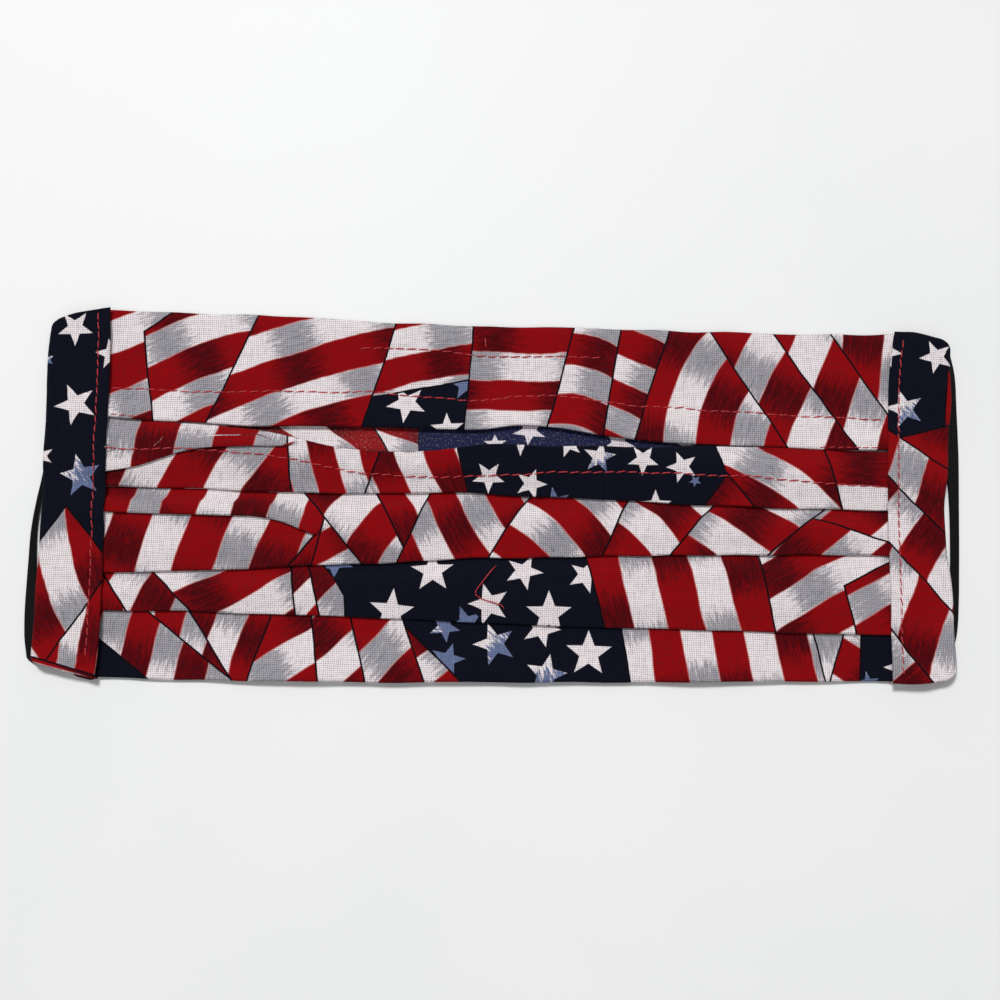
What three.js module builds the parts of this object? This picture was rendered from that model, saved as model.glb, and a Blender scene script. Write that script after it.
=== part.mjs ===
// A pleated cotton face mask lying flat, inner side up, in millimetres.
// +X runs along the mask, +Y points to its top edge over the nose, and +Z is up.
// The origin is on the surface that it lies on, under the middle of the mask and its ear loops.
// Each folded wall stands for the two cotton plies that are sewn and pressed together there.

import * as THREE from "three";

// Overall sizes of the cloth
const maskWidth = 189;
const maskHeight = 75;
const clothWall = 1.0;
const clearance = 0.3;

// The lining's upper piece, and the pocket slit below it
const bandHeight = 23;
const slitGape = 5.8;
const slitLift = 0.7;
const pocketSlack = 0.6;
const lipRoot = 3.5;

// The three pleats, which all fold towards the chin
const pleatPitch = 13;
const edgeWander = 5;

// The casings round the two ends
const casingWidth = 12.7;
const casingGrip = 3;
const endRise = 11;

// The flat elastic of the ear loops
const elasticWidth = 3;
const elasticThickness = 1.0;
const slantReach = 8;

// Colours and finish
const printRed = 0x9b1616;
const printNavy = 0x1d2138;
const elasticBlack = 0x141416;
const clothRoughness = 0.9;

// How finely the lofts are cut
const bodySteps = 26;
const casingSteps = 22;
const runSteps = 14;
const bendSteps = 8;

// Heights and lengths that follow from the layers
const layerStep = clothWall + clearance;
const levelOne = clothWall / 2;
const levelTwo = levelOne + layerStep;
const levelThree = levelTwo + layerStep;
const pleatClimb = 3 * layerStep;
const halfWidth = maskWidth / 2;
const halfHeight = maskHeight / 2;
const bodyHalf = halfWidth - casingWidth + casingGrip;
const channelFloor = elasticThickness + clearance + clothWall;
const channelRoof = channelFloor + elasticThickness + 2 * clearance;

// Each row is one place along the mask, at a share of half its width.
// top, band, foldA, foldB, foldC and hem move that edge by a share of edgeWander.
// gape is the slit's opening as a share of slitGape, below zero where the lip lies under the band.
const alongMask = [
  { at: -0.92, top: 0.1, band: 0.24, gape: -0.35, foldA: 0.18, foldB: -0.86, foldC: 0.24, hem: -0.14 },
  { at: -0.66, top: 0.08, band: 0.02, gape: -0.2, foldA: 0.14, foldB: -0.66, foldC: 0.26, hem: -0.2 },
  { at: -0.43, top: 0.02, band: -0.04, gape: 0.55, foldA: 0.06, foldB: -0.4, foldC: 0.18, hem: -0.2 },
  { at: -0.23, top: -0.2, band: -0.02, gape: 1.0, foldA: 0.1, foldB: -0.2, foldC: 0.14, hem: -0.18 },
  { at: -0.03, top: -0.3, band: -0.02, gape: 0.67, foldA: 0.12, foldB: 0.06, foldC: -0.02, hem: -0.12 },
  { at: 0.13, top: -0.26, band: 0.08, gape: 0.71, foldA: 0.01, foldB: 0.14, foldC: -0.08, hem: -0.06 },
  { at: 0.34, top: -0.32, band: -0.42, gape: 0.26, foldA: -0.08, foldB: 0.28, foldC: -0.12, hem: 0.02 },
  { at: 0.58, top: -0.38, band: -0.54, gape: -0.15, foldA: -0.22, foldB: 0.38, foldC: -0.18, hem: 0.12 },
  { at: 0.92, top: -0.36, band: -0.68, gape: -0.35, foldA: -0.3, foldB: 0.44, foldC: -0.22, hem: 0.28 },
];

// Each row is one height on a casing, at a share of half the mask's height.
// outer and inner move the casing's fold and its stitched edge by a share of casingWidth.
const leftCasingEdges = [
  { at: -1.0, outer: 0.0, inner: 0.02 },
  { at: -0.38, outer: 0.0, inner: 0.01 },
  { at: 0.05, outer: 0.01, inner: -0.01 },
  { at: 0.53, outer: 0.03, inner: -0.04 },
  { at: 1.0, outer: 0.0, inner: -0.09 },
];
const rightCasingEdges = [
  { at: -1.0, outer: -0.05, inner: 0.05 },
  { at: -0.53, outer: -0.11, inner: 0.06 },
  { at: -0.21, outer: -0.18, inner: 0.06 },
  { at: 0.21, outer: -0.07, inner: 0.06 },
  { at: 0.53, outer: 0.03, inner: 0.02 },
  { at: 1.0, outer: 0.0, inner: -0.1 },
];

// Each row is one place across a casing, from its stitched edge (0) to its fold (1).
// up and down move the slanted upper and lower mouth inward by a share of casingWidth.
const leftMouths = [
  { at: 0.0, up: -0.12, down: -0.09 },
  { at: 0.55, up: 0.06, down: 0.1 },
  { at: 1.0, up: 0.35, down: 0.25 },
];
const rightMouths = [
  { at: 0.0, up: 0.09, down: 0.06 },
  { at: 0.55, up: 0.18, down: 0.08 },
  { at: 1.0, up: 0.34, down: 0.28 },
];

// Places across a casing, from its stitched edge (0) to its fold (1)
const gripAt = 0.36;
const channelAt = 0.56;
const elasticAt = 0.74;
const roundAt = 0.93;
const innerRoundAt = 0.86;

// The stretch of each ear loop that lies on the surface, partly under the casing's fold.
// out is how far its outer edge lies past half the mask's width, as a share of elasticWidth.
const leftLoopRoute = [
  { at: -0.94, out: 0.3 },
  { at: -0.72, out: 0.7 },
  { at: -0.4, out: 0.53 },
  { at: -0.2, out: 0.43 },
  { at: 0.05, out: 0.1 },
  { at: 0.4, out: -0.3 },
  { at: 0.94, out: -0.65 },
];
const rightLoopRoute = [
  { at: -0.94, out: -0.45 },
  { at: -0.72, out: -0.2 },
  { at: -0.35, out: 0.07 },
  { at: 0.05, out: 0.3 },
  { at: 0.5, out: 0.25 },
  { at: 0.78, out: 0.0 },
  { at: 0.94, out: -0.65 },
];

// A smooth value of one column of a table, at any place between its rows.
function columnAt(table, column, at) {
  const place = THREE.MathUtils.clamp(at, table[0].at, table[table.length - 1].at);
  let row = 0;
  while (row < table.length - 2 && place > table[row + 1].at) row += 1;
  const slopeAt = (index) => {
    const before = table[Math.max(index - 1, 0)];
    const after = table[Math.min(index + 1, table.length - 1)];
    return (after[column] - before[column]) / (after.at - before.at);
  };
  const from = table[row];
  const to = table[row + 1];
  const span = to.at - from.at;
  const share = (place - from.at) / span;
  const square = share * share;
  const cube = square * share;
  return (
    (2 * cube - 3 * square + 1) * from[column] +
    (cube - 2 * square + share) * span * slopeAt(row) +
    (3 * square - 2 * cube) * to[column] +
    (cube - square) * span * slopeAt(row + 1)
  );
}

function evenSteps(from, to, steps) {
  return Array.from({ length: steps + 1 }, (_, step) => THREE.MathUtils.lerp(from, to, step / steps));
}

// The edges and folds of the cloth at one place along the mask.
// Each pleat is as deep as the panel above it leaves room for, beside that panel's climb over the pleat.
function edgesAt(x) {
  const share = x / halfWidth;
  const moved = (column) => edgeWander * columnAt(alongMask, column, share);
  const band = halfHeight - bandHeight + moved("band");
  const foldA = moved("foldA");
  const foldB = -pleatPitch + moved("foldB");
  const foldC = -2 * pleatPitch + moved("foldC");
  // Near its ends the cloth rises onto the casing's lower wall.
  const inward = halfWidth - casingWidth - Math.abs(x);
  const lift = layerStep * (1 - THREE.MathUtils.smoothstep(inward, endRise / 8, endRise));
  return {
    top: halfHeight + moved("top"),
    hem: -halfHeight + moved("hem"),
    lip: band - slitGape * columnAt(alongMask, "gape", share),
    depthA: band - foldA - pleatClimb - layerStep,
    depthB: foldA - foldB - pleatClimb,
    depthC: foldB - foldC - pleatClimb,
    band,
    foldA,
    foldB,
    foldC,
    lift,
  };
}

// The middle of the front cloth beyond pleat A, where it comes down behind the pleat.
function frontMiddle(edges, y) {
  const start = edges.foldA + edges.depthA + clearance;
  const drop = THREE.MathUtils.smoothstep(y, start, start + pleatClimb);
  return THREE.MathUtils.lerp(levelThree, levelOne, drop);
}

// The middle of the lower lining's free lip, which follows the front cloth one layer above it.
function lipMiddle(edges, y) {
  return frontMiddle(edges, y - layerStep) + layerStep;
}

// The middle of the lining's upper piece, which rides over the lip where that lies under it.
function bandMiddle(edges, y) {
  const overLip = 1 - THREE.MathUtils.smoothstep(y, edges.lip, edges.lip + pleatClimb + 2 * clothWall);
  const nearEdge = 1 - THREE.MathUtils.smoothstep(y, edges.band, edges.band + bandHeight / 2);
  const lift = pocketSlack + layerStep * overLip + slitLift * nearEdge * (1 - overLip);
  return lipMiddle(edges, y) + lift;
}

// A fold's half turn as middle-line points. side is 1 where the fold points to +Y and -1 to -Y.
function foldPoints(edge, low, high, side) {
  const radius = (high - low) / 2;
  const centre = edge - side * (radius + clothWall / 2);
  return evenSteps(-Math.PI / 2, Math.PI / 2, 4).map((turn) => ({
    y: centre + side * radius * Math.cos(turn),
    z: (low + high) / 2 + radius * Math.sin(turn),
  }));
}

// The middle line of the pleated wall, from the hem at the chin to the top edge.
function pleatedLine(edges) {
  const line = [{ y: edges.hem, z: levelOne }];
  const addPleat = (fold, depth, nextFold) => {
    const innerFold = fold + depth;
    line.push({ y: (line[line.length - 1].y + innerFold) / 2, z: levelOne });
    line.push(...foldPoints(innerFold, levelOne, levelTwo, 1));
    line.push(...foldPoints(fold, levelTwo, levelThree, -1));
    line.push({ y: (fold + innerFold) / 2, z: levelThree, overFold: fold });
    line.push({ y: innerFold + clearance, z: levelThree });
    if (nextFold !== undefined) line.push({ y: nextFold - clearance, z: levelOne });
  };
  addPleat(edges.foldC, edges.depthC, edges.foldB);
  addPleat(edges.foldB, edges.depthB, edges.foldA);
  addPleat(edges.foldA, edges.depthA);
  const start = line[line.length - 1].y;
  [1, 2, 3].forEach((third) => {
    const y = start + (third * pleatClimb) / 3;
    line.push({ y, z: frontMiddle(edges, y) });
  });
  const landed = line[line.length - 1].y;
  [1, 2, 3].forEach((third) => {
    line.push({ y: THREE.MathUtils.lerp(landed, edges.top, third / 3), z: levelOne });
  });
  return line;
}

// The two faces of a wall along a middle line, on the left and the right of its run.
function wallFaces(line) {
  const left = [];
  const right = [];
  const leastCosine = 0.7;
  line.forEach((point, index) => {
    const before = line[Math.max(index - 1, 0)];
    const after = line[Math.min(index + 1, line.length - 1)];
    const runIn = new THREE.Vector2(point.y - before.y, point.z - before.z);
    const runOut = new THREE.Vector2(after.y - point.y, after.z - point.z);
    if (index === 0) runIn.copy(runOut);
    if (index === line.length - 1) runOut.copy(runIn);
    runIn.normalize();
    const along = runOut.normalize().add(runIn).normalize();
    const reach = clothWall / 2 / Math.max(along.dot(runIn), leastCosine);
    left.push({ y: point.y - along.y * reach, z: point.z + along.x * reach });
    right.push({ y: point.y + along.y * reach, z: point.z - along.x * reach });
  });
  return { left, right };
}

// One cut through the pleated body, with the lower lining's free lip over the front cloth.
function bodyOutline(x) {
  const edges = edgesAt(x);
  const line = pleatedLine(edges);
  const faces = wallFaces(line);
  const root = edges.foldA + lipRoot;
  const lipLine = [0, 0.35, 0.6, 0.8, 1].map((share) => {
    const y = THREE.MathUtils.lerp(root, edges.lip, share);
    return { y, z: lipMiddle(edges, y) };
  });
  const lip = wallFaces(lipLine);
  // The lip and the front cloth come out of fold A as one, so its shoulder is two walls high.
  const shoulder = [
    { y: edges.foldA + clothWall / 3, z: levelThree + clothWall },
    { y: edges.foldA + clothWall, z: levelThree + layerStep + clothWall / 2 },
  ];
  const notch = [
    { y: root, z: levelThree + layerStep - clothWall / 2 },
    { y: root, z: levelThree + clothWall / 2 },
  ];
  const overFold = line.findIndex((point) => point.overFold === edges.foldA);
  const outline = [
    ...faces.left.slice(0, overFold - 1),
    ...shoulder,
    ...lip.left.slice(1),
    ...lip.right.slice(1).reverse(),
    ...notch,
    ...faces.left.slice(overFold + 1),
    ...faces.right.reverse(),
  ];
  return outline.map((point) => new THREE.Vector3(x, point.y, point.z + edges.lift));
}

// One cut through the lining's upper piece.
function bandOutline(x) {
  const edges = edgesAt(x);
  const line = [0, 0.08, 0.18, 0.3, 0.45, 0.7, 1].map((share) => {
    const y = THREE.MathUtils.lerp(edges.band, edges.top, share);
    return { y, z: bandMiddle(edges, y) };
  });
  const faces = wallFaces(line);
  const outline = [...faces.left, ...faces.right.reverse()];
  return outline.map((point) => new THREE.Vector3(x, point.y, point.z + edges.lift));
}

// The signed volume inside a closed mesh, below zero where its faces point inwards.
function volumeOf(geometry) {
  const place = geometry.getAttribute("position");
  const index = geometry.getIndex();
  const corner = (at) => new THREE.Vector3().fromBufferAttribute(place, index.getX(at));
  let volume = 0;
  for (let at = 0; at < index.count; at += 3) {
    volume += corner(at).dot(corner(at + 1).cross(corner(at + 2))) / 6;
  }
  return volume;
}

// A closed mesh through rings of points. flatten gives a ring's points in its own plane for the end caps,
// and without it the last ring joins the first.
function loftRings(rings, flatten) {
  const count = rings[0].length;
  const looped = flatten === undefined;
  const faces = [];
  for (let ring = 0; ring < rings.length - (looped ? 0 : 1); ring += 1) {
    const here = ring * count;
    const there = ((ring + 1) % rings.length) * count;
    for (let index = 0; index < count; index += 1) {
      const beside = (index + 1) % count;
      faces.push([here + index, here + beside, there + beside]);
      faces.push([here + index, there + beside, there + index]);
    }
  }
  if (!looped) {
    const turned = THREE.ShapeUtils.area(rings[0].map(flatten)) > 0;
    [0, rings.length - 1].forEach((ring) => {
      const reversed = turned === (ring === 0);
      THREE.ShapeUtils.triangulateShape(rings[ring].map(flatten), []).forEach(([a, b, c]) => {
        const face = reversed ? [a, c, b] : [a, b, c];
        faces.push(face.map((index) => ring * count + index));
      });
    });
  }
  const geometry = new THREE.BufferGeometry().setFromPoints(rings.flat());
  geometry.setIndex(faces.flat());
  if (volumeOf(geometry) < 0) geometry.setIndex(faces.map(([a, b, c]) => [a, c, b]).flat());
  geometry.computeVertexNormals();
  return geometry;
}

function clothLoft(outlineAt) {
  const rings = evenSteps(-bodyHalf, bodyHalf, bodySteps).map(outlineAt);
  return loftRings(rings, (point) => new THREE.Vector2(point.y, point.z));
}

// The top of all the cloth that a casing clasps, at one height on it.
function claspedTop(side, y) {
  const edges = edgesAt(side * bodyHalf);
  const tops = evenSteps(y - 2 * clothWall, y + 2 * clothWall, 4).map((at) => {
    const overPleats = at < edges.foldA + edges.depthA + layerStep;
    const overLip = at > edges.foldA && at < edges.lip + clothWall;
    const overBand = at > edges.band - clothWall;
    return Math.max(
      overPleats ? levelThree : levelOne,
      overLip ? lipMiddle(edges, at) : levelOne,
      overBand ? bandMiddle(edges, at) : levelOne,
    );
  });
  return Math.max(...tops) + clothWall / 2 + layerStep;
}

// The distance from the mask's middle to a place across a casing, at one height.
function casingReach(sleeve, across, y) {
  const share = y / halfHeight;
  const inner = halfWidth - casingWidth * (1 + columnAt(sleeve.edges, "inner", share));
  const outer = halfWidth + casingWidth * columnAt(sleeve.edges, "outer", share);
  return THREE.MathUtils.lerp(inner, outer, across);
}

// The y of a casing's upper (end 1) or lower (end -1) mouth at a place across it.
function mouthAt(sleeve, end, across) {
  return end * (halfHeight - casingWidth * columnAt(sleeve.mouths, end > 0 ? "up" : "down", across));
}

// One cut through a casing, a flattened sleeve that is open towards the mask's middle.
function casingOutline(sleeve, share) {
  const point = (across, heightOf) => {
    const y = THREE.MathUtils.lerp(mouthAt(sleeve, -1, across), mouthAt(sleeve, 1, across), share);
    return new THREE.Vector3(sleeve.side * casingReach(sleeve, across, y), y, heightOf(across, y));
  };
  const floor = (across) =>
    (channelFloor - clothWall) * THREE.MathUtils.smoothstep(across, gripAt, channelAt);
  const overFloor = (across) => floor(across) + clothWall;
  const roof = (across, y) => {
    const atFold = channelRoof + clothWall;
    const overBody = Math.max(claspedTop(sleeve.side, y) + layerStep, atFold);
    return THREE.MathUtils.lerp(overBody, atFold, THREE.MathUtils.smoothstep(across, gripAt, elasticAt));
  };
  const underRoof = (across, y) => roof(across, y) - clothWall;
  const foldMiddle = (channelFloor + channelRoof) / 2;
  const foldPlaces = (inset) => {
    const flank = (channelRoof - channelFloor) / 2 + clothWall - inset;
    const edge = 1 - inset / casingWidth;
    const cheek = edge - clothWall / casingWidth / 4;
    return [
      point(cheek, () => foldMiddle - 0.7 * flank),
      point(edge, () => foldMiddle),
      point(cheek, () => foldMiddle + 0.7 * flank),
    ];
  };
  const outward = [0, gripAt / 2, gripAt, (gripAt + channelAt) / 2, channelAt, (channelAt + 1) / 2];
  const inward = outward.slice().reverse();
  return [
    ...outward.map((across) => point(across, floor)),
    point(roundAt, floor),
    ...foldPlaces(0),
    point(roundAt, roof),
    ...inward.map((across) => point(across, roof)),
    ...outward.map((across) => point(across, underRoof)),
    point(innerRoundAt, underRoof),
    ...foldPlaces(clothWall).reverse(),
    point(innerRoundAt, overFloor),
    ...inward.map((across) => point(across, overFloor)),
  ];
}

function casing(sleeve) {
  const rings = evenSteps(0, 1, casingSteps).map((share) => casingOutline(sleeve, share));
  return loftRings(rings, (point) => new THREE.Vector2(point.x, point.z));
}

// The stations of an ear loop: along the surface, round the upper mouth, back through the casing and
// round the lower mouth. Its bends are slanted like the mouths.
function loopStations(sleeve) {
  const onSurface = elasticThickness / 2;
  const inChannel = (channelFloor + channelRoof) / 2;
  const radius = (inChannel - onSurface) / 2;
  const low = mouthAt(sleeve, -1, elasticAt) - clearance / 2;
  const high = mouthAt(sleeve, 1, elasticAt) + clearance / 2;
  const surfaceX = (y) => {
    return halfWidth + elasticWidth * (columnAt(sleeve.route, "out", y / halfHeight) - 0.5);
  };
  const channelX = (y) => casingReach(sleeve, elasticAt, y);
  const mouthSlope = (end) => {
    const rise = mouthAt(sleeve, end, roundAt) - mouthAt(sleeve, end, channelAt);
    return rise / ((roundAt - channelAt) * casingWidth);
  };
  const slantAt = (y) => {
    const nearHigh = THREE.MathUtils.smoothstep(y, high - slantReach, high);
    const nearLow = THREE.MathUtils.smoothstep(-y, -low - slantReach, -low);
    return nearHigh * mouthSlope(1) + nearLow * mouthSlope(-1);
  };
  const run = (from, to, xAt, z) => {
    return evenSteps(from, to, runSteps).map((y) => ({ x: xAt(y), y, z, slant: slantAt(y) }));
  };
  const bend = (y, end, xFrom, xTo, climb) => {
    return evenSteps(0, 1, bendSteps).slice(1, -1).map((share) => ({
      x: THREE.MathUtils.lerp(xFrom(y), xTo(y), THREE.MathUtils.smoothstep(share, 0, 1)),
      y: y + end * radius * Math.sin(Math.PI * share),
      z: onSurface + radius - climb * radius * Math.cos(Math.PI * share),
      slant: slantAt(y),
    }));
  };
  return [
    ...run(low, high, surfaceX, onSurface),
    ...bend(high, 1, surfaceX, channelX, 1),
    ...run(high, low, channelX, inChannel),
    ...bend(low, -1, channelX, surfaceX, -1),
  ];
}

function earLoop(sleeve) {
  const corners = [
    { across: -0.5, through: -0.5 },
    { across: 0.5, through: -0.5 },
    { across: 0.5, through: 0.5 },
    { across: -0.5, through: 0.5 },
  ];
  const stations = loopStations(sleeve);
  const rings = stations.map((station, index) => {
    const before = stations[(index + stations.length - 1) % stations.length];
    const after = stations[(index + 1) % stations.length];
    const along = new THREE.Vector2(after.y - before.y, after.z - before.z).normalize();
    return corners.map(({ across, through }) => {
      const shift = across * elasticWidth;
      const lift = through * elasticThickness;
      return new THREE.Vector3(
        sleeve.side * (station.x + shift),
        station.y - along.y * lift + shift * station.slant,
        station.z + along.x * lift,
      );
    });
  });
  return loftRings(rings);
}

function namedMesh(name, geometry, color) {
  const finish = { name, color, roughness: clothRoughness, metalness: 0 };
  const mesh = new THREE.Mesh(geometry, new THREE.MeshStandardMaterial(finish));
  mesh.name = name;
  return mesh;
}

const leftSleeve = { side: -1, edges: leftCasingEdges, mouths: leftMouths, route: leftLoopRoute };
const rightSleeve = { side: 1, edges: rightCasingEdges, mouths: rightMouths, route: rightLoopRoute };

const laidOut = new THREE.Group();
laidOut.add(
  namedMesh("pleated_body", clothLoft(bodyOutline), printRed),
  namedMesh("upper_lining", clothLoft(bandOutline), printRed),
  namedMesh("casing_left", casing(leftSleeve), printNavy),
  namedMesh("casing_right", casing(rightSleeve), printNavy),
  namedMesh("ear_loop_left", earLoop(leftSleeve), elasticBlack),
  namedMesh("ear_loop_right", earLoop(rightSleeve), elasticBlack),
);

// The folds, mouths and loops are uneven, so the mask is moved until its middle is over the origin.
const middle = new THREE.Box3().setFromObject(laidOut).getCenter(new THREE.Vector3());
laidOut.position.set(-middle.x, -middle.y, 0);

const mask = new THREE.Group();
mask.name = "face_mask";
mask.add(laidOut);

export default mask;
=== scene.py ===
"""A pleated cotton face mask on a pale table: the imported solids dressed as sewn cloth.

Lengths are in millimetres in the mask's own frame, and places() turns them into the row frame.
"""

import math

import bpy
import numpy as np
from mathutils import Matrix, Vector
from mathutils.bvhtree import BVHTree


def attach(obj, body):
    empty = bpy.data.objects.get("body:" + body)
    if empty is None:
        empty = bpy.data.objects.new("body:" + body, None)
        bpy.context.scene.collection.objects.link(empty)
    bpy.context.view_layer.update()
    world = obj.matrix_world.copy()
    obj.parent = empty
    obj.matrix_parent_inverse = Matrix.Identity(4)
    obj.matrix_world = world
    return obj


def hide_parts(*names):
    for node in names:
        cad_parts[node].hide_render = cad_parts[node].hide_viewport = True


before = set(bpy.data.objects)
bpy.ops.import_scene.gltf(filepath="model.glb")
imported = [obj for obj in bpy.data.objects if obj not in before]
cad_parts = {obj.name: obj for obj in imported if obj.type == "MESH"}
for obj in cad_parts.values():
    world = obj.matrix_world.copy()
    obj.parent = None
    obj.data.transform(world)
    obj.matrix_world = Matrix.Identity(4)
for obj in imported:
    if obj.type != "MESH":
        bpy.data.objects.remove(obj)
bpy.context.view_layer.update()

MM = 0.001
# The part's source moves the mask by this much until its middle is over the origin.
CENTRED = np.array([0.59, -0.19, 0.0])

# Half the body's length between the casings, and how finely it is cut
BODY_HALF = 84.5
STATIONS = 250

# Cloth thicknesses: two sewn plies, one ply, one ply with its hem turned under, and a casing wall
WALL = 0.44
PLY = 0.27
HEMMED = 0.58
SLEEVE = 0.4

# Heights of the middle of the lowest wall and from layer to layer, in the middle and at the ends
LOWEST = 0.36
LAYER = 0.86
LAYER_AT_ENDS = 0.6
# How close the layers lie at an ironed fold, and how far from it they open up
IRONED = 0.48
OPENS_OVER = 5.5
# How far the hem stands off the table
HEM_SPRING = 0.9

# Edges of the cloth along the mask, in y
ALONG = (-84, -66, -50, -42, -32, -22, -12, -4, 4, 12, 22, 32, 42, 52, 66, 84)
TOP = (38.2, 37.9, 37.6, 37.4, 37.1, 36.5, 36.2, 35.9, 36.1, 36.2, 36.1, 35.9, 35.7, 35.7, 35.6, 35.8)
BAND = (15.6, 14.8, 14.3, 14.3, 14.3, 14.4, 14.1, 14.2, 15.2, 14.8, 13.3, 12.4, 11.9, 11.8, 11.4, 11.1)
LIP = (17, 14.4, 13.2, 11.4, 9.5, 8.6, 9.7, 10.4, 10.7, 10.7, 10.7, 10.9, 11.5, 11.5, 11.3, 13.2)
FOLD_A = (0.9, 0.7, 0.4, 0.2, 0.3, 0.5, 0.6, 0.6, 0.4, 0.1, -0.1, -0.5, -0.9, -1.1, -1.4, -1.5)
FOLD_B = (-17.2, -16.4, -15.6, -15, -14.6, -14, -13.3, -12.8, -12.5, -12.2, -11.9, -11.6, -11.3, -11.1, -10.9, -10.8)
FOLD_C = (-24.8, -24.6, -24.9, -25.1, -25.2, -25.3, -25.6, -26, -26.2, -26.4, -26.5, -26.5, -26.6, -26.8, -27, -27.1)
HEM = (-38.2, -38.4, -38.5, -38.5, -38.4, -38.4, -38.2, -38, -37.9, -37.8, -37.6, -37.4, -37.2, -36.9, -36.6, -36.2)


def through(knots, values, place):
    """A smooth curve through values at their knots, read at any place."""
    knots, values = np.asarray(knots, float), np.asarray(values, float)
    slopes = np.gradient(values, knots)
    place = np.clip(place, knots[0], knots[-1])
    i = np.clip(np.searchsorted(knots, place) - 1, 0, len(knots) - 2)
    span = knots[i + 1] - knots[i]
    s = (place - knots[i]) / span
    return (
        (2 * s**3 - 3 * s**2 + 1) * values[i]
        + (s**3 - 2 * s**2 + s) * span * slopes[i]
        + (3 * s**2 - 2 * s**3) * values[i + 1]
        + (s**3 - s**2) * span * slopes[i + 1]
    )


def eased(value, low, high):
    s = np.clip((value - low) / (high - low), 0, 1)
    return s * s * (3 - 2 * s)


def ripple(x, y, length, seed):
    """Gentle unevenness of about that wavelength, mostly between -1 and 1."""
    random = np.random.default_rng(seed)
    total = 0
    for _ in range(7):
        turn, phase, size = random.random(3)
        wave = 2 * math.pi / (length * (0.6 + 0.9 * size))
        way = 2 * math.pi * turn
        total = total + np.sin(wave * (x * math.cos(way) + y * math.sin(way)) + 2 * math.pi * phase)
    return total / math.sqrt(7)


def column(value, like):
    """One value a station, as a column that can be added to a row of points."""
    return np.broadcast_to(np.asarray(value, float), like.shape)[:, None]


X = np.linspace(-BODY_HALF, BODY_HALF, STATIONS)
TO_END = BODY_HALF - np.abs(X)


def edge(table, seed, waver=0.12):
    return through(ALONG, table, X) + waver * ripple(X, 0 * X, 17, seed)


top_edge, band_edge, lip_edge = edge(TOP, 1), edge(BAND, 2, 0.1), edge(LIP, 3, 0.16)
fold_a, fold_b, fold_c, hem_edge = edge(FOLD_A, 4), edge(FOLD_B, 5), edge(FOLD_C, 6), edge(HEM, 7, 0.1)

pressed = 1 - eased(TO_END, 3, 22)
layer = LAYER + (LAYER_AT_ENDS - LAYER) * pressed
lift = 0.5 * (1 - eased(TO_END, 1.5, 9))
level_1 = LOWEST + lift
level_2 = level_1 + layer
level_3 = level_2 + layer
pressed_2 = level_1 + IRONED
pressed_3 = pressed_2 + IRONED


class Line:
    """The middle line of a folded wall, one row of points a station, each with its panel of the print."""

    def __init__(self):
        self.y, self.z, self.panel = [], [], []

    def add(self, y, z, panel):
        self.y.append(y)
        self.z.append(np.broadcast_to(z, y.shape))
        self.panel += [panel] * y.shape[1]

    def run(self, start, end, height, count, panel, ends=True):
        """Points from start to end. height is a function of y, or one height a station."""
        share = np.linspace(0, 1, count)[None, :]
        if not ends:
            share = np.linspace(0, 1, count + 2)[None, 1:-1]
        y = column(start, X) + (column(end, X) - column(start, X)) * share
        self.add(y, height(y) if callable(height) else column(height, X), panel)

    def turn(self, place, low, high, side, panels, count=7, wall=WALL):
        """A fold's half turn from height low to high. side is 1 where it points to +Y."""
        low, high, place = column(low, X), column(high, X), column(place, X)
        radius = (high - low) / 2
        angle = np.linspace(-math.pi / 2, math.pi / 2, count)[None, :]
        y = place - side * (np.abs(radius) + wall / 2) + side * np.abs(radius) * np.cos(angle)
        z = (low + high) / 2 + radius * np.sin(angle)
        half = count // 2 + 1
        self.add(y[:, :half], z[:, :half], panels[0])
        self.add(y[:, half:], z[:, half:], panels[1])

    def tuck(self, place, depth, shown, height, rise, panels, spread=3.2, count=6):
        """A small fold pressed over, whose edge at place points to -Y. shown fades it into flat cloth.

        panels are the panels under and over the fold's edge. Returns the first point over the edge.
        """
        depth, place, shown = column(depth, X), column(place, X), column(shown, X)
        angle = np.linspace(-math.pi / 2, math.pi / 2, count)[None, :]
        radius = rise / 2
        under_y = place + depth - radius + radius * np.cos(angle)
        under_z = radius + radius * np.sin(angle) + 0 * place
        over_y = place + radius - radius * np.cos(angle)
        over_z = rise + under_z
        back = place + depth - radius
        y = np.concatenate([under_y, over_y, back + 0 * angle[:, :1]], axis=1)
        z = np.concatenate([under_z, over_z, 0 * back + 2 * rise], axis=1)
        flat = place + column(spread, X) * np.linspace(0, 1, y.shape[1])[None, :]
        y = flat + (y - flat) * shown
        z = height(y) + z * shown
        under = count + count // 2
        self.add(y[:, :under], z[:, :under], panels[0])
        over_starts = len(self.panel)
        self.add(y[:, under:], z[:, under:], panels[1])
        return over_starts

    def done(self):
        return np.concatenate(self.y, axis=1), np.concatenate(self.z, axis=1), np.array(self.panel)


def lengths_along(y, z):
    step = np.hypot(np.diff(y, axis=1), np.diff(z, axis=1))
    return np.concatenate([np.zeros((len(y), 1)), np.cumsum(step, axis=1)], axis=1)


def taken_up(y, along, start, end):
    """The length of cloth that a small fold between two points takes up."""
    return (along[:, end] - along[:, start]) - (y[:, end] - y[:, start])


def faces_of(y, z, above, below):
    """The upper and lower face of a wall along its middle line."""
    dy, dz = np.gradient(y, axis=1), np.gradient(z, axis=1)
    size = np.maximum(np.hypot(dy, dz), 1e-6)
    across, up = -dz / size, dy / size
    return (y + across * above, z + up * above), (y - across * below, z - up * below)


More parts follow.
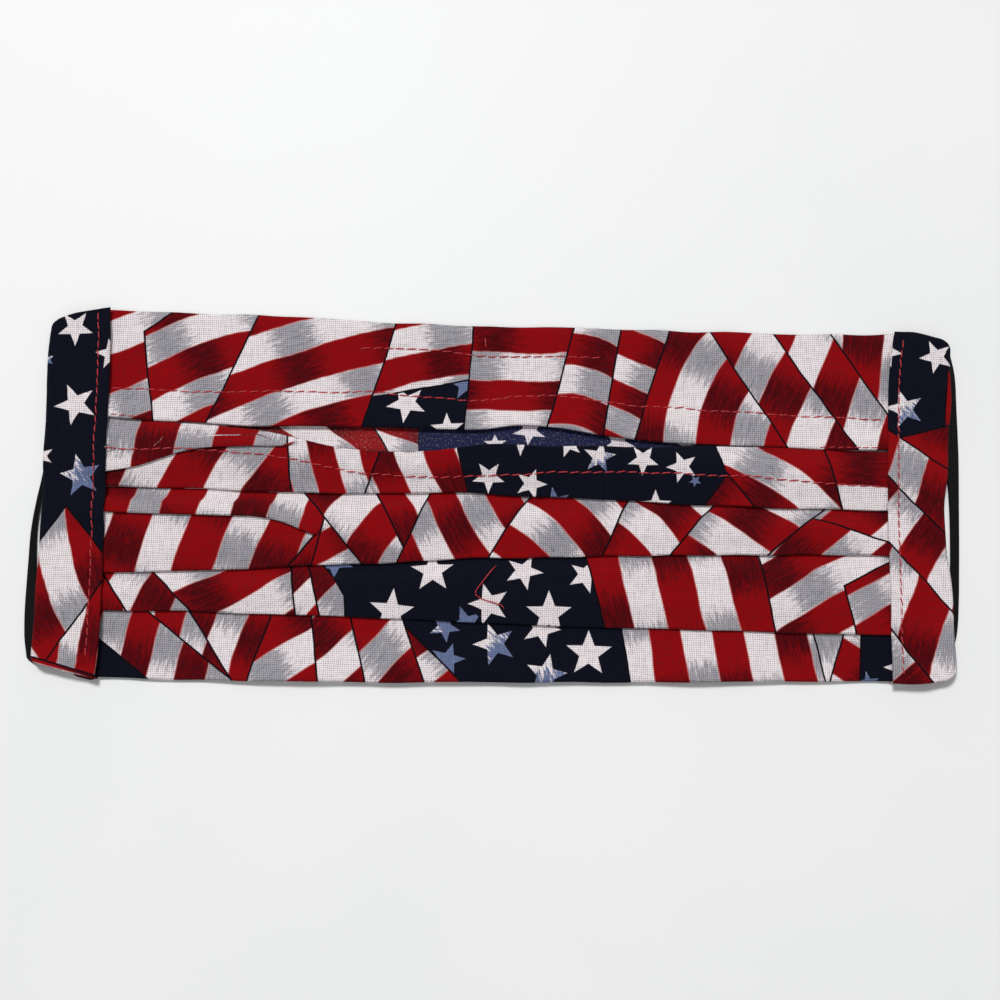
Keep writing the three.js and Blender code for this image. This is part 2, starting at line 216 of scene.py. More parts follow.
# Places of the stitched lines, in y along the mask
STITCH_X = (-84, -73, -63, -54, -44, -34, -28, -20, -12, -4, 5, 12, 22, 32, 42, 54, 66, 84)
SEAM_BAND = (21.6, 21.4, 21.1, 21.3, 21.5, 21.4, 21.8, 21.2, 20.6, 20.3, 21.3, 21.6, 20.4, 19.6, 19.1, 18.6, 18, 17.7)
SEAM_LIP = (8.7, 8.6, 8.6, 8.1, 7.2, 5.3, 4.3, 3.9, 3.8, 4.2, 4.7, 5.1, 5.4, 5.5, 5.2, 4.8, 4, 3.2)
CHANNEL_X = (-30, -21, -13, -3, 4, 12, 22)
SEAM_CHANNEL = (31, 31.1, 30.8, 29.7, 29.8, 30, 29.9)

# The two small creases at the left, one in the lip and one in the panel below fold A
CREASE_X = (-84, -74, -64, -52, -41, -36)
LIP_CREASE = (3.2, 5.2, 8.4, 9.4, 10, 11.6)
PANEL_CREASE_X = (-84, -72, -57, -49, -44, -40, -36)
PANEL_CREASE = (-4.3, -4.6, -4.8, -5, -6, -7.6, -9.2)

CLIMB = 3.6
LIP_ROOT = 4.2

seam_band = through(STITCH_X, SEAM_BAND, X) + 0.12 * ripple(X, 0 * X, 11, 31)
seam_lip = through(STITCH_X, SEAM_LIP, X) + 0.12 * ripple(X, 0 * X, 11, 32)
inner_a = band_edge - 4.8
inner_b = fold_a - CLIMB
inner_c = fold_b - CLIMB


def wrinkles(x, y):
    """Soft unevenness of the cloth, the same for every layer, so that layers don't cut each other."""
    calm = eased(BODY_HALF - np.abs(x), 0, 26)
    broad = 0.19 * np.maximum(ripple(x, 1.6 * y, 34, 11) + 1.1, 0) * calm
    fine = 0.06 * ripple(x, y, 10, 12) + 0.025 * ripple(x, y, 4.5, 13)
    from_hem = y - column(hem_edge, X)
    sprung = column(HEM_SPRING * (1 + 0.3 * ripple(X, 0 * X, 40, 14)), X) * calm * np.exp(-((from_hem / 6.5) ** 2))
    return broad + np.maximum(fine, -0.09) + sprung


def near_fold(y, fold):
    return 1 - eased(y, column(fold, X), column(fold, X) + OPENS_OVER)


def falling(fold, start, end):
    """Heights of a panel from its own ironed fold, over its pleat until start, and down to the next fold at end."""

    def height(y):
        down = eased(y, column(start, X), column(end, X))
        top = column(level_3, X) + column(pressed_3 - level_3, X) * near_fold(y, fold)
        return top + (column(level_1, X) - top) * down

    return height


def between(fold):
    """Heights of the layer inside a pleat."""

    def height(y):
        return column(level_2, X) + column(pressed_2 - level_2, X) * near_fold(y, fold)

    return height


front_height = falling(fold_a, inner_a + 0.1, inner_a + 4.1)


def lip_top(y):
    """The upper face of the lower lining's free lip, over the front cloth."""
    away = y - column(fold_a, X)
    rise = (0.14 + PLY) * eased(away, 0.8, 5)
    open_here = eased(column(band_edge - lip_edge, X), 0.3, 3)
    slack = 0.3 * open_here * eased(y, column(lip_edge, X) - 6, column(lip_edge, X))
    hem = (HEMMED - PLY) * eased(y, column(seam_lip, X) - 0.1, column(seam_lip, X) + 0.7)
    return front_height(y - 0.9) + WALL / 2 + rise + slack + hem


def pucker(y, seam, seed):
    """How stitches draw the cloth down along a seam and ruffle it beside."""
    away = y - column(seam, X)
    pull = 0.11 * np.exp(-((away / 0.45) ** 2)) * (1 + 0.6 * np.sin(2 * math.pi * X / 2.6))[:, None]
    ruffle = 0.07 * np.exp(-((away / 2.6) ** 2)) * ripple(X[:, None], y * 0.25, 4.2, seed)
    return ruffle - pull


def pleated_body():
    """The closed outline of the pleated wall with the free lip over it, at every station."""
    line = Line()
    line.run(hem_edge, fold_b * 0.45 + hem_edge * 0.55, level_1, 16, "chin")
    line.run(fold_b * 0.45 + hem_edge * 0.55, inner_c - 1, level_1, 6, "chin", ends=False)
    line.turn(inner_c, level_1, level_2, 1, ("chin", "chin"))
    line.run(inner_c - 1, fold_c + 1, between(fold_c), 5, "low", ends=False)
    line.turn(fold_c, pressed_2, pressed_3, -1, ("low", "low"))
    start_low = len(line.panel)
    line.run(fold_c + 0.8, fold_b, falling(fold_c, inner_c - 0.3, fold_b - 0.3), 24, "low")
    line.run(fold_b, inner_b - 1, level_1, 6, "low", ends=False)
    line.turn(inner_b, level_1, level_2, 1, ("low", "low"))
    line.run(inner_b - 1, fold_b + 1, between(fold_b), 5, "mid", ends=False)
    line.turn(fold_b, pressed_2, pressed_3, -1, ("mid", "mid"))
    start_mid = len(line.panel)
    crease = through(PANEL_CREASE_X, PANEL_CREASE, X)
    crease = np.minimum(crease, fold_a - 3.6)
    deep = 0.9 + 1.7 * (1 - eased(X, -46, -38.5))
    shown = 1 - eased(X, -37.6, -35.4)
    over_pleat = falling(fold_b, inner_b - 0.3, fold_a - 0.3)
    line.run(fold_b + 0.8, crease - 0.4, over_pleat, 16, "mid")
    tuck_starts = len(line.panel) - 1
    line.tuck(crease, deep, shown, over_pleat, 0.46, ("mid", "flap"))
    line.run(crease + 3.4, fold_a, over_pleat, 10, "flap")
    tuck_ends = len(line.panel) - 10
    line.run(fold_a, inner_a - 1, level_1, 6, "mid", ends=False)
    line.turn(inner_a, level_1, level_2, 1, ("mid", "mid"))
    line.run(inner_a - 1, fold_a + 1, between(fold_a), 5, "lip", ends=False)
    line.turn(fold_a, pressed_2, pressed_3, -1, ("lip", "lip"))
    shoulder = len(line.panel)
    root = fold_a + LIP_ROOT
    line.run(fold_a + 0.8, root, front_height, 4, "lip", ends=False)
    notch = len(line.panel)
    line.run(root, band_edge + 1, front_height, 22, "front")
    line.run(band_edge + 1, top_edge - 0.35, front_height, 14, "front", ends=False)
    y, z, panel = line.done()
    z = z + wrinkles(X[:, None], y)
    along = lengths_along(y, z)
    anchors = {"chin": 4, "low": start_low + 8, "mid": start_mid + 8, "front": notch + 12, "lip": shoulder}
    in_tuck = taken_up(y, along, tuck_starts, tuck_ends)

    lip = Line()
    crease = np.minimum(through(CREASE_X, LIP_CREASE, X), lip_edge - 1.5)
    crease = np.maximum(crease, fold_a + 1.8)
    deep = np.clip(lip_edge - crease - 1.3, 0, 2.4) * (1 - eased(X, -50, -42))
    shown = 1 - eased(X, -45, -40)
    lip.run(fold_a + 1.5, crease - 0.3, lip_top, 8, "lip")
    crease_starts = len(lip.panel)
    beyond = np.minimum(deep + 0.9, lip_edge - crease - 0.6)
    over_crease = lip.tuck(crease, deep, shown, lip_top, 0.34, ("lip", "lip_flap"), spread=beyond)
    crease_ends = len(lip.panel)
    lip.run(crease + beyond + 0.15, lip_edge - 0.3, lip_top, 16, "lip")
    lip_y, lip_z, _ = lip.done()
    in_crease = np.zeros(lip_y.shape[1])
    in_crease[crease_starts - 2 : crease_ends + 3] = 1
    in_crease = np.convolve(np.pad(in_crease, 2, mode="edge"), np.ones(5) / 5, "valid")[None, :] * column(shown, X)
    lip_z = lip_z + wrinkles(X[:, None], lip_y) + pucker(lip_y, seam_lip, 41) * (1 - in_crease)
    thick = PLY + (HEMMED - PLY) * eased(lip_y, column(seam_lip, X) - 0.1, column(seam_lip, X) + 0.7)
    thick = thick + (0.24 - thick) * in_crease
    lip_upper, lip_lower = faces_of(lip_y, lip_z, 0 * thick, thick)
    lip_run = lengths_along(lip_y, lip_z) + column(fold_a + 1.5, X)
    lip_flap_run = lip_run - taken_up(lip_y, lip_run, crease_starts - 1, crease_ends)[:, None]
    nose_y = lip_y[:, -1:] + 0.3
    nose_z = (lip_upper[1][:, -1:] + lip_lower[1][:, -1:]) / 2

    upper, lower = faces_of(y, z, WALL / 2, WALL / 2)
    below = list(range(0, y.shape[1] - 1, 2)) + [y.shape[1] - 1]
    below.reverse()

    def reach(name, points):
        if name == "flap":
            return reach("mid", points) - in_tuck[:, None]
        anchor = anchors[name]
        return y[:, anchor, None] + along[:, points] - along[:, anchor, None]

    loop = Loop()
    for index in range(shoulder):
        name = panel[min(index + 1, shoulder - 1)]
        v_next = reach(name, [index + 1])[:, 0] if index + 1 < shoulder else lip_run[:, 0]
        loop.point(upper[0][:, index], upper[1][:, index], name, reach(name, [index])[:, 0], v_next)
    for index in range(lip_y.shape[1]):
        nearest = min(index + 1, lip_y.shape[1] - 1)
        name, flat_run = ("lip", lip_run) if index + 1 < over_crease else ("lip_flap", lip_flap_run)
        loop.point(lip_upper[0][:, index], lip_upper[1][:, index], name, flat_run[:, index], flat_run[:, nearest])
    loop.point(nose_y[:, 0], nose_z[:, 0], "lip_flap", lip_flap_run[:, -1], lip_flap_run[:, -1] + 0.4)
    for index in range(lip_y.shape[1] - 1, 3, -1):
        loop.point(lip_lower[0][:, index], lip_lower[1][:, index], "wrong",
                   lip_run[:, index], lip_run[:, index - 1])
    for index in range(notch, y.shape[1]):
        nearest = min(index + 1, y.shape[1] - 1)
        loop.point(upper[0][:, index], upper[1][:, index], "wrong",
                   reach("front", [index])[:, 0], reach("front", [nearest])[:, 0])
    for here, there in zip(below, below[1:] + below[-1:]):
        name = panel[there] if panel[there] != "lip" else "front"
        loop.point(lower[0][:, here], lower[1][:, here], name,
                   reach(name, [here])[:, 0], reach(name, [there])[:, 0])
    return loop


def upper_lining():
    """The closed outline of the lining's upper piece, whose hem is the slit's upper edge."""
    line = Line()
    line.run(band_edge, band_edge + 9, 0 * X, 20, "band")
    line.run(band_edge + 9, top_edge - 1, 0 * X, 18, "band", ends=False)
    line.run(top_edge - 1, top_edge, 0 * X, 5, "band")
    y, _, _ = line.done()
    over_lip = 1 - eased(y, column(lip_edge, X) + 0.4, column(lip_edge, X) + 3.2)
    lap = column(eased(lip_edge - band_edge, -0.4, 0.6), X) * (HEMMED + 0.14)
    near_edge = 1 - eased(y, column(band_edge, X), column(band_edge, X) + 9)
    hem = 1 - eased(y, column(seam_band, X) - 0.6, column(seam_band, X) + 0.2)
    thick = PLY + (HEMMED - PLY) * hem
    open_here = column(eased(band_edge - lip_edge, 0.3, 3), X)
    slack = 0.4 * near_edge * open_here
    base = front_height(y) + WALL / 2 + 0.14 + over_lip * lap + slack + 0.3 * near_edge
    roll = eased(y, column(top_edge, X) - 1.2, column(top_edge, X) + 0.3)
    z = base + thick + wrinkles(X[:, None], y) - 0.25 * roll
    z = z + pucker(y, seam_band, 42) + channel_pucker(y)
    upper, lower = faces_of(y, z, 0 * thick, thick)
    loop = Loop()
    run = lengths_along(y, z) + column(band_edge, X)
    last = y.shape[1] - 1
    for index in range(last + 1):
        loop.point(upper[0][:, index], upper[1][:, index], "band", run[:, index], run[:, min(index + 1, last)])
    loop.point(y[:, -1] + 0.18, (upper[1][:, -1] + lower[1][:, -1]) / 2, "band", run[:, -1], run[:, -1] + 0.3)
    for index in range(last, -1, -2):
        loop.point(lower[0][:, index], lower[1][:, index], "wrong", run[:, index], run[:, max(index - 2, 0)])
    loop.point(y[:, 0] - 0.25, (upper[1][:, 0] + lower[1][:, 0]) / 2, "band", run[:, 0] - 0.3, run[:, 0])
    return loop


def channel_pucker(y):
    """The short seam of the nose channel, which fades out at its ends."""
    seam = through(CHANNEL_X, SEAM_CHANNEL, X)
    held = eased(X, -33, -29) * (1 - eased(X, 21, 25))
    return pucker(y, seam, 43) * held[:, None]


class Loop:
    """A closed outline at every station, with the panel and flat cloth place of each of its stretches."""

    def __init__(self):
        self.y, self.z, self.panel, self.v_from, self.v_to = [], [], [], [], []

    def point(self, y, z, panel, v_from, v_to):
        self.y.append(y)
        self.z.append(z)
        self.panel.append(panel)
        self.v_from.append(v_from)
        self.v_to.append(v_to)


def places(points):
    """Points of the mask's own frame in the row frame, in metres."""
    return (np.asarray(points, float) + CENTRED) * MM


def object_of(name, points, faces, uvs=None, slots=None, materials=()):
    """A smooth mesh object. uvs holds one flat cloth place in metres for each corner of each face."""
    mesh = bpy.data.meshes.new(name)
    mesh.from_pydata([tuple(p) for p in places(points)], [], faces)
    if uvs is not None:
        layer_ = mesh.uv_layers.new(name="cloth")
        layer_.data.foreach_set("uv", (np.asarray(uvs, float) * MM).astype(np.float32).ravel())
    for material in materials:
        mesh.materials.append(material)
    if slots is not None:
        mesh.polygons.foreach_set("material_index", np.asarray(slots, np.int32))
    mesh.polygons.foreach_set("use_smooth", np.ones(len(mesh.polygons), bool))
    mesh.update()
    made = bpy.data.objects.new(name, mesh)
    bpy.context.scene.collection.objects.link(made)
    return made


def cloth_from_loop(name, loop, panels):
    """panels maps a panel's name to its material."""
    y, z = np.array(loop.y).T, np.array(loop.z).T
    v_from, v_to = np.array(loop.v_from).T, np.array(loop.v_to).T
    rows, count = y.shape
    points = np.stack([np.broadcast_to(X[:, None], y.shape), y, z], axis=2).reshape(-1, 3)
    names = list(panels)
    faces, uvs, slots = [], [], []
    for row in range(rows - 1):
        for here in range(count):
            there = (here + 1) % count
            a, b = row * count + here, row * count + there
            faces.append((a, a + count, b + count, b))
            uvs += [
                (X[row], v_from[row, here]),
                (X[row + 1], v_from[row + 1, here]),
                (X[row + 1], v_to[row + 1, here]),
                (X[row], v_to[row, here]),
            ]
            slots.append(names.index(loop.panel[here]))
    for row, turned in ((0, False), (rows - 1, True)):
        ring = [row * count + index for index in range(count)]
        faces.append(ring if turned else ring[::-1])
        flat = [(y[row, index], z[row, index]) for index in range(count)]
        uvs += flat if turned else flat[::-1]
        slots.append(0)
    return object_of(name, points, faces, uvs, slots, panels.values())


# The casings' folded and stitched edges, in distance from the mask's middle, along their height
CASING_Y = (-39, -31, -23, -14.5, -8, -1, 7, 15, 23, 31, 39)
LEFT_FOLD = (93.9, 94.1, 94.1, 94, 93.8, 94, 94.2, 94.1, 94.3, 94.1, 93.9)
LEFT_SEWN = (80.7, 80.5, 80.4, 80.5, 80.6, 80.7, 80.8, 81, 81.2, 81.5, 81.8)
RIGHT_FOLD = (93.7, 93.5, 93.2, 92.8, 92, 91.9, 92.5, 93.3, 93.8, 94, 93.8)
RIGHT_SEWN = (80.6, 80.4, 80.3, 80.2, 80.1, 80.1, 80.1, 80.4, 80.7, 81.3, 82.7)
# How far the slanted mouths lie from the middle, from the stitched edge (0) to the fold (1)
ACROSS = (0, 0.35, 0.7, 0.88, 1)
LEFT_UP = (38.5, 37.8, 36.7, 35.8, 34.4)
LEFT_DOWN = (38.6, 37.6, 36.6, 36, 35)
RIGHT_UP = (36.2, 36.1, 35.2, 34.5, 33.2)
RIGHT_DOWN = (36.8, 36.9, 36.3, 35.6, 34)

GRIP, CHANNEL, STRAP_AT = 0.36, 0.56, 0.74
STRAP_WIDTH, STRAP_THICK = 3.0, 0.7
STRAP_GAP = 0.16
# How far the casings' seams lie from their inner edges
LEFT_INSET, RIGHT_INSET = 2.45, 2.15


class Sleeve:
    """One casing: a sleeve folded flat round an end of the mask, open along its stitched edge."""

    def __init__(self, side, fold, sewn, up, down, seed):
        self.side, self.fold, self.sewn, self.up, self.down = side, fold, sewn, up, down
        self.seed = seed

    def reach(self, across, y):
        inner = through(CASING_Y, self.sewn, y) + 0.1 * ripple(y, 0 * y, 9, self.seed)
        outer = through(CASING_Y, self.fold, y) + 0.16 * ripple(y, 0 * y, 12, self.seed + 1)
        return inner + (outer - inner) * across

    def mouth(self, end, across, upper=1.0):
        """The y of a mouth. The lower wall stops short at the elastic, so upper is 0 on it and 1 on the roof."""
        short = 1.6 * eased(across, 0.42, 0.6)
        if self.side < 0 and end < 0:
            short = short - 0.55 * eased(across, 0.02, 0.1) * (1 - eased(across, 0.3, 0.45))
        return end * (through(ACROSS, self.up if end > 0 else self.down, across) - (1 - upper) * short)

    def place(self, across, share, upper=1.0):
        """The y of a place across the sleeve, at a share of the way from its lower to its upper mouth."""
        low, high = self.mouth(-1, across, upper), self.mouth(1, across, upper)
        return low + (high - low) * share


def stack_height(side, *objects):
    """The top of the cloth that a casing clasps, as heights at steps along y."""
    steps = np.arange(-41, 42, 0.5)
    tops = np.full(len(steps), LOWEST + WALL)
    for made in objects:
        points = np.array([v.co for v in made.data.vertices]) / MM - CENTRED
        near = points[side * points[:, 0] > 80.5]
        index = np.round((near[:, 1] - steps[0]) / 0.5).astype(int)
        np.maximum.at(tops, np.clip(index, 0, len(steps) - 1), near[:, 2])
    wide = np.array([tops[max(i - 3, 0) : i + 4].max() for i in range(len(tops))])
    kernel = np.exp(-((np.arange(-6, 7) / 3.2) ** 2))
    padded = np.concatenate([np.full(6, wide[0]), wide, np.full(6, wide[-1])])
    return steps, np.convolve(padded, kernel / kernel.sum(), "valid")


FLOOR_OF_CHANNEL = STRAP_THICK + 0.25


def sleeve_heights(sleeve, steps, tops, across, y):
    """The middle heights of a sleeve's lower and upper wall at a place across it."""
    raised = eased(across, GRIP, CHANNEL)
    floor = SLEEVE / 2 + 0.02 + raised * FLOOR_OF_CHANNEL
    at_fold = SLEEVE / 2 + FLOOR_OF_CHANNEL + STRAP_THICK + 2 * STRAP_GAP + SLEEVE
    over_cloth = np.interp(y, steps, tops) + SLEEVE / 2 + 0.06
    hem = 0.22 * (1 - eased(across, 0.0, 0.14))
    roof = np.maximum(over_cloth, at_fold) + (at_fold - np.maximum(over_cloth, at_fold)) * eased(across, GRIP, STRAP_AT)
    rough = 0.1 * ripple(12 * across, y, 7, sleeve.seed + 3) + 0.05 * ripple(12 * across, y, 3, sleeve.seed + 4)
    return floor, roof + hem * 0.4 + rough * eased(across, 0.02, 0.2)


def casing(name, sleeve, steps, tops, material, wrong):
    """A sleeve's walls and fold as one closed sheet."""
    rows = 150
    shares = np.linspace(0, 1, rows)[:, None]
    fold_start = 0.93
    inward = np.concatenate([np.linspace(0, 0.8, 19), np.linspace(0.8, fold_start, 7)[1:]])
    outward = inward[::-1]
    turn = np.linspace(-math.pi / 2, math.pi / 2, 9)[1:-1]

    def wall(across, upper):
        across = across[None, :] + 0 * shares
        y = sleeve.place(across, shares, 1.0 if upper else 0.0)
        floor, roof = sleeve_heights(sleeve, steps, tops, across, y)
        return sleeve.reach(across, y), y, roof if upper else floor

    low_x, low_y, low_z = wall(inward, False)
    high_x, high_y, high_z = wall(outward, True)
    middle, radius = (low_z[:, -1:] + high_z[:, :1]) / 2, (high_z[:, :1] - low_z[:, -1:]) / 2
    edge_x = sleeve.reach(np.ones((rows, 1)), sleeve.place(np.ones((rows, 1)), shares)) - SLEEVE / 2
    bulge = edge_x - low_x[:, -1:]
    turn_x = low_x[:, -1:] + bulge * np.cos(turn)[None, :]
    turn_across = fold_start + (1 - fold_start) * np.cos(turn)[None, :] + 0 * shares
    turn_y = sleeve.place(turn_across, shares, (1 + np.sin(turn)[None, :]) / 2)
    turn_z = middle + radius * np.sin(turn)[None, :]
    x = np.concatenate([low_x, turn_x, high_x], axis=1)
    y = np.concatenate([low_y, turn_y, high_y], axis=1)
    z = np.concatenate([low_z, turn_z, high_z], axis=1)

    sewn = (LEFT_INSET if sleeve.side < 0 else RIGHT_INSET) + 0 * y
    from_edge = x - x[:, :1]
    upper_wall = np.arange(x.shape[1]) >= len(inward) + len(turn) // 2
    pull = 0.16 * np.exp(-(((from_edge - sewn) / 0.5) ** 2)) * (1 + 0.6 * np.sin(2 * math.pi * y / 2.6))
    z = z - pull * upper_wall[None, :]

    run = lengths_along(x, z)
    dx, dz = np.gradient(x, axis=1), np.gradient(z, axis=1)
    size = np.maximum(np.hypot(dx, dz), 1e-6)
    half = SLEEVE / 2
    # The run goes out along the floor and back over the roof, so its right side is the outside.
    outer = np.stack([sleeve.side * (x + dz / size * half), y, z - dx / size * half], axis=2)
    inner = np.stack([sleeve.side * (x - dz / size * half), y, z + dx / size * half], axis=2)
    count = x.shape[1]
    points = np.concatenate([outer, inner], axis=1).reshape(-1, 3)
    ring = 2 * count
    flat_u = sleeve.side * (x[:, -1:] + run[:, -1:] - run)
    faces, uvs, slots = [], [], []

    def quad(corners, places_of, slot):
        faces.append(corners)
        uvs.extend((flat_u[row, index], y[row, index]) for row, index in places_of)
        slots.append(slot)

    for row in range(rows - 1):
        for index in range(count - 1):
            square = ((row, index), (row, index + 1), (row + 1, index + 1), (row + 1, index))
            quad([r * ring + i for r, i in square], square, 0)
            quad([r * ring + count + i for r, i in square[::-1]], square[::-1], 1)
        for index in (0, count - 1):
            rim = ((row, index), (row + 1, index))
            quad(
                [row * ring + index, (row + 1) * ring + index, (row + 1) * ring + count + index, row * ring + count + index],
                (rim[0], rim[1], rim[1], rim[0]),
                0,
            )
    for row in (0, rows - 1):
        for index in range(count - 1):
            quad(
                [row * ring + index, row * ring + index + 1, row * ring + count + index + 1, row * ring + count + index],
                ((row, index), (row, index + 1), (row, index + 1), (row, index)),
                0,
            )
    return object_of(name, points, faces, uvs, slots, (material, wrong))


# The elastic's outer edge beyond half the mask's width, where it lies on the table
HALF_WIDTH = 94.5
LEFT_ROUTE_Y = (-35, -31, -27, -20.7, -14.5, -8.3, -2, 2, 15, 35)
LEFT_ROUTE = (95.5, 96.2, 96.4, 96.4, 96.3, 96.1, 95.3, 94.6, 93.6, 92.6)
# The share of its full width to which the elastic has curled up
LEFT_CURL = (1, 1, 0.95, 0.75, 0.55, 0.42, 0.34, 0.34, 0.8, 1)
RIGHT_ROUTE_Y = (-35, -30.7, -27.7, -19.5, -13.3, -5, 3.4, 11.8, 20.3, 28.9, 34)
RIGHT_ROUTE = (92.6, 93.2, 94, 94.8, 95, 95.2, 95.4, 95.5, 95.4, 95, 94)
RIGHT_CURL = (1, 1, 0.9, 0.7, 0.62, 0.62, 0.75, 1, 1, 1, 1)


def strap(name, sleeve, route_y, route, curl, material):
    """A flat ribbed elastic ring: along the table, round the upper mouth, back through the casing."""
    low_z = STRAP_THICK / 2 + 0.01
    high_z = SLEEVE + 0.02 + FLOOR_OF_CHANNEL + STRAP_GAP + STRAP_THICK / 2
    radius = (high_z - low_z) / 2
    low = sleeve.mouth(-1, STRAP_AT, 0.0) + 0.1
    high = sleeve.mouth(1, STRAP_AT, 0.0) + 0.2

    def table_share(y):
        return through(route_y, curl, y)

    def table_x(y):
        return through(route_y, route, y) - STRAP_WIDTH / 2 * table_share(y)

    def channel_x(y):
        return sleeve.reach(np.full_like(y, STRAP_AT), y)

    def slope(end):
        rise = sleeve.mouth(end, 0.93) - sleeve.mouth(end, CHANNEL)
        return rise / (0.37 * 12.7)

    def slant(y):
        return slope(1) * eased(y, high - 8, high) + slope(-1) * eased(-y, -low - 8, -low)

    runs = []
    y = np.linspace(low, high, 90)
    thicker = 1 + 0.9 * (1 - table_share(y))
    runs.append((table_x(y), y, low_z * thicker, table_share(y), thicker))
    for end, edge_y in ((1, high), (-1, low)):
        share = np.linspace(0, 1, 14)[1:-1]
        y = edge_y + end * radius * 1.25 * np.sin(math.pi * share)
        here = np.full_like(share, edge_y)
        mix = eased(share, 0, 1) if end > 0 else 1 - eased(share, 0, 1)
        x = table_x(here) + (channel_x(here) - table_x(here)) * mix
        z = low_z + radius - (end * radius) * np.cos(math.pi * share)
        runs.append((x, y, z, 1 + 0 * y, 1 + 0 * y))
        if end > 0:
            y = np.linspace(high, low, 90)
            runs.append((channel_x(y), y, 0 * y + high_z, 1 + 0 * y, 1 + 0 * y))
    x, y, z, broad, thick = (np.concatenate([run[axis] for run in runs]) for axis in range(5))
    step_y, step_z = np.roll(y, -1) - np.roll(y, 1), np.roll(z, -1) - np.roll(z, 1)
    size = np.hypot(step_y, step_z)
    step_y, step_z = step_y / size, step_z / size
    ribs = 5
    across = np.linspace(-0.5, 0.5, 21)
    profile = 1 - 0.22 * (0.5 + 0.5 * np.cos(2 * math.pi * ribs * (across + 0.5)))
    profile *= np.sqrt(np.clip(1 - (2 * across) ** 8, 0.05, 1))
    section = [(a, 0.5 * p) for a, p in zip(across, profile)] + [(a, -0.5 * p) for a, p in zip(across[::-1], profile[::-1])]
    travelled = np.concatenate([[0], np.cumsum(np.hypot(np.hypot(np.diff(x), np.diff(y)), np.diff(z)))])
    points, faces, uvs = [], [], []
    slanted = slant(np.clip(y, low, high))
    width = broad * STRAP_WIDTH * (1 + 0.02 * ripple(travelled, 0 * travelled, 14, sleeve.seed + 7))
    for index in range(len(x)):
        for a, p in section:
            shift, rise = a * width[index], p * STRAP_THICK * thick[index]
            points.append((
                sleeve.side * (x[index] + shift),
                y[index] - step_z[index] * rise + shift * slanted[index],
                z[index] + step_y[index] * rise,
            ))
    count = len(section)
    total = travelled[-1] + 0.5
    for row in range(len(x)):
        later = (row + 1) % len(x)
        v_here, v_later = travelled[row], travelled[row + 1] if later else total
        for index in range(count):
            beside = (index + 1) % count
            faces.append((row * count + index, row * count + beside, later * count + beside, later * count + index))
            u, w = section[index][0] * STRAP_WIDTH, section[beside][0] * STRAP_WIDTH
            uvs += [(u, v_here), (w, v_here), (w, v_later), (u, v_later)]
    return object_of(name, points, faces, uvs, None, (material,))


def outward(*objects):
    """Turns the faces of closed meshes outward."""
    import bmesh

    for made in objects:
        mesh = bmesh.new()
        mesh.from_mesh(made.data)
        bmesh.ops.recalc_face_normals(mesh, faces=mesh.faces)
        mesh.to_mesh(made.data)
        mesh.free()


class Surface:
    """Finds the top of the cloth under a point."""

    def __init__(self, *objects):
        self.trees = []
        for made in objects:
            points = [v.co.copy() for v in made.data.vertices]
            self.trees.append(BVHTree.FromPolygons(points, [tuple(p.vertices) for p in made.data.polygons]))

    def top(self, x, y):
        """The height and normal at (x, y), in the mask's own frame."""
        start = Vector(places((x, y, 30)))
        best, normal = 0.0, Vector((0, 0, 1))
        for tree in self.trees:
            place, found, _, _ = tree.ray_cast(start, Vector((0, 0, -1)))
            if place is not None and place.z / MM > best:
                best, normal = place.z / MM, found
        if normal.z < 0:
            normal = -normal
        return best, np.array(normal)


def tubes(name, lines, radii, sides, materials, slots=None, patterns=False):
    """Round threads along lines of points in the row frame. radii gives one radius a point of each line."""
    points, faces, uvs, chosen = [], [], [], []
    for number, (line, radius) in enumerate(zip(lines, radii)):
        line = np.asarray(line, float)
        ways = np.gradient(line, axis=0)
        ways /= np.maximum(np.linalg.norm(ways, axis=1), 1e-9)[:, None]
        side = np.cross(ways, (0, 0, 1.0))
        weak = np.linalg.norm(side, axis=1) < 0.05
        side[weak] = (1, 0, 0)
        side /= np.linalg.norm(side, axis=1)[:, None]
        up = np.cross(side, ways)
        start = len(points)
        run = np.concatenate([[0], np.cumsum(np.linalg.norm(np.diff(line, axis=0), axis=1))])
        for index, place in enumerate(line):
            for turn in range(sides):
                angle = 2 * math.pi * turn / sides
                reach = side[index] * math.cos(angle) + up[index] * math.sin(angle)
                points.append(place + radius[index] * reach)
        for index in range(len(line) - 1):
            for turn in range(sides):
                beside = (turn + 1) % sides
                a, b = start + index * sides + turn, start + index * sides + beside
                faces.append((a, b, b + sides, a + sides))
                uvs += [(turn, run[index]), (turn + 1, run[index]), (turn + 1, run[index + 1]), (turn, run[index + 1])]
                chosen.append(slots[number] if slots else 0)
        for index, flip in ((0, True), (len(line) - 1, False)):
            ring = [start + index * sides + turn for turn in range(sides)]
            faces.append(ring[::-1] if flip else ring)
            uvs += [(turn, run[index]) for turn in range(sides)]
            chosen.append(slots[number] if slots else 0)
    return object_of(name, points, faces, uvs, chosen, materials)


STITCH = 2.15
STITCH_GAP = 0.24


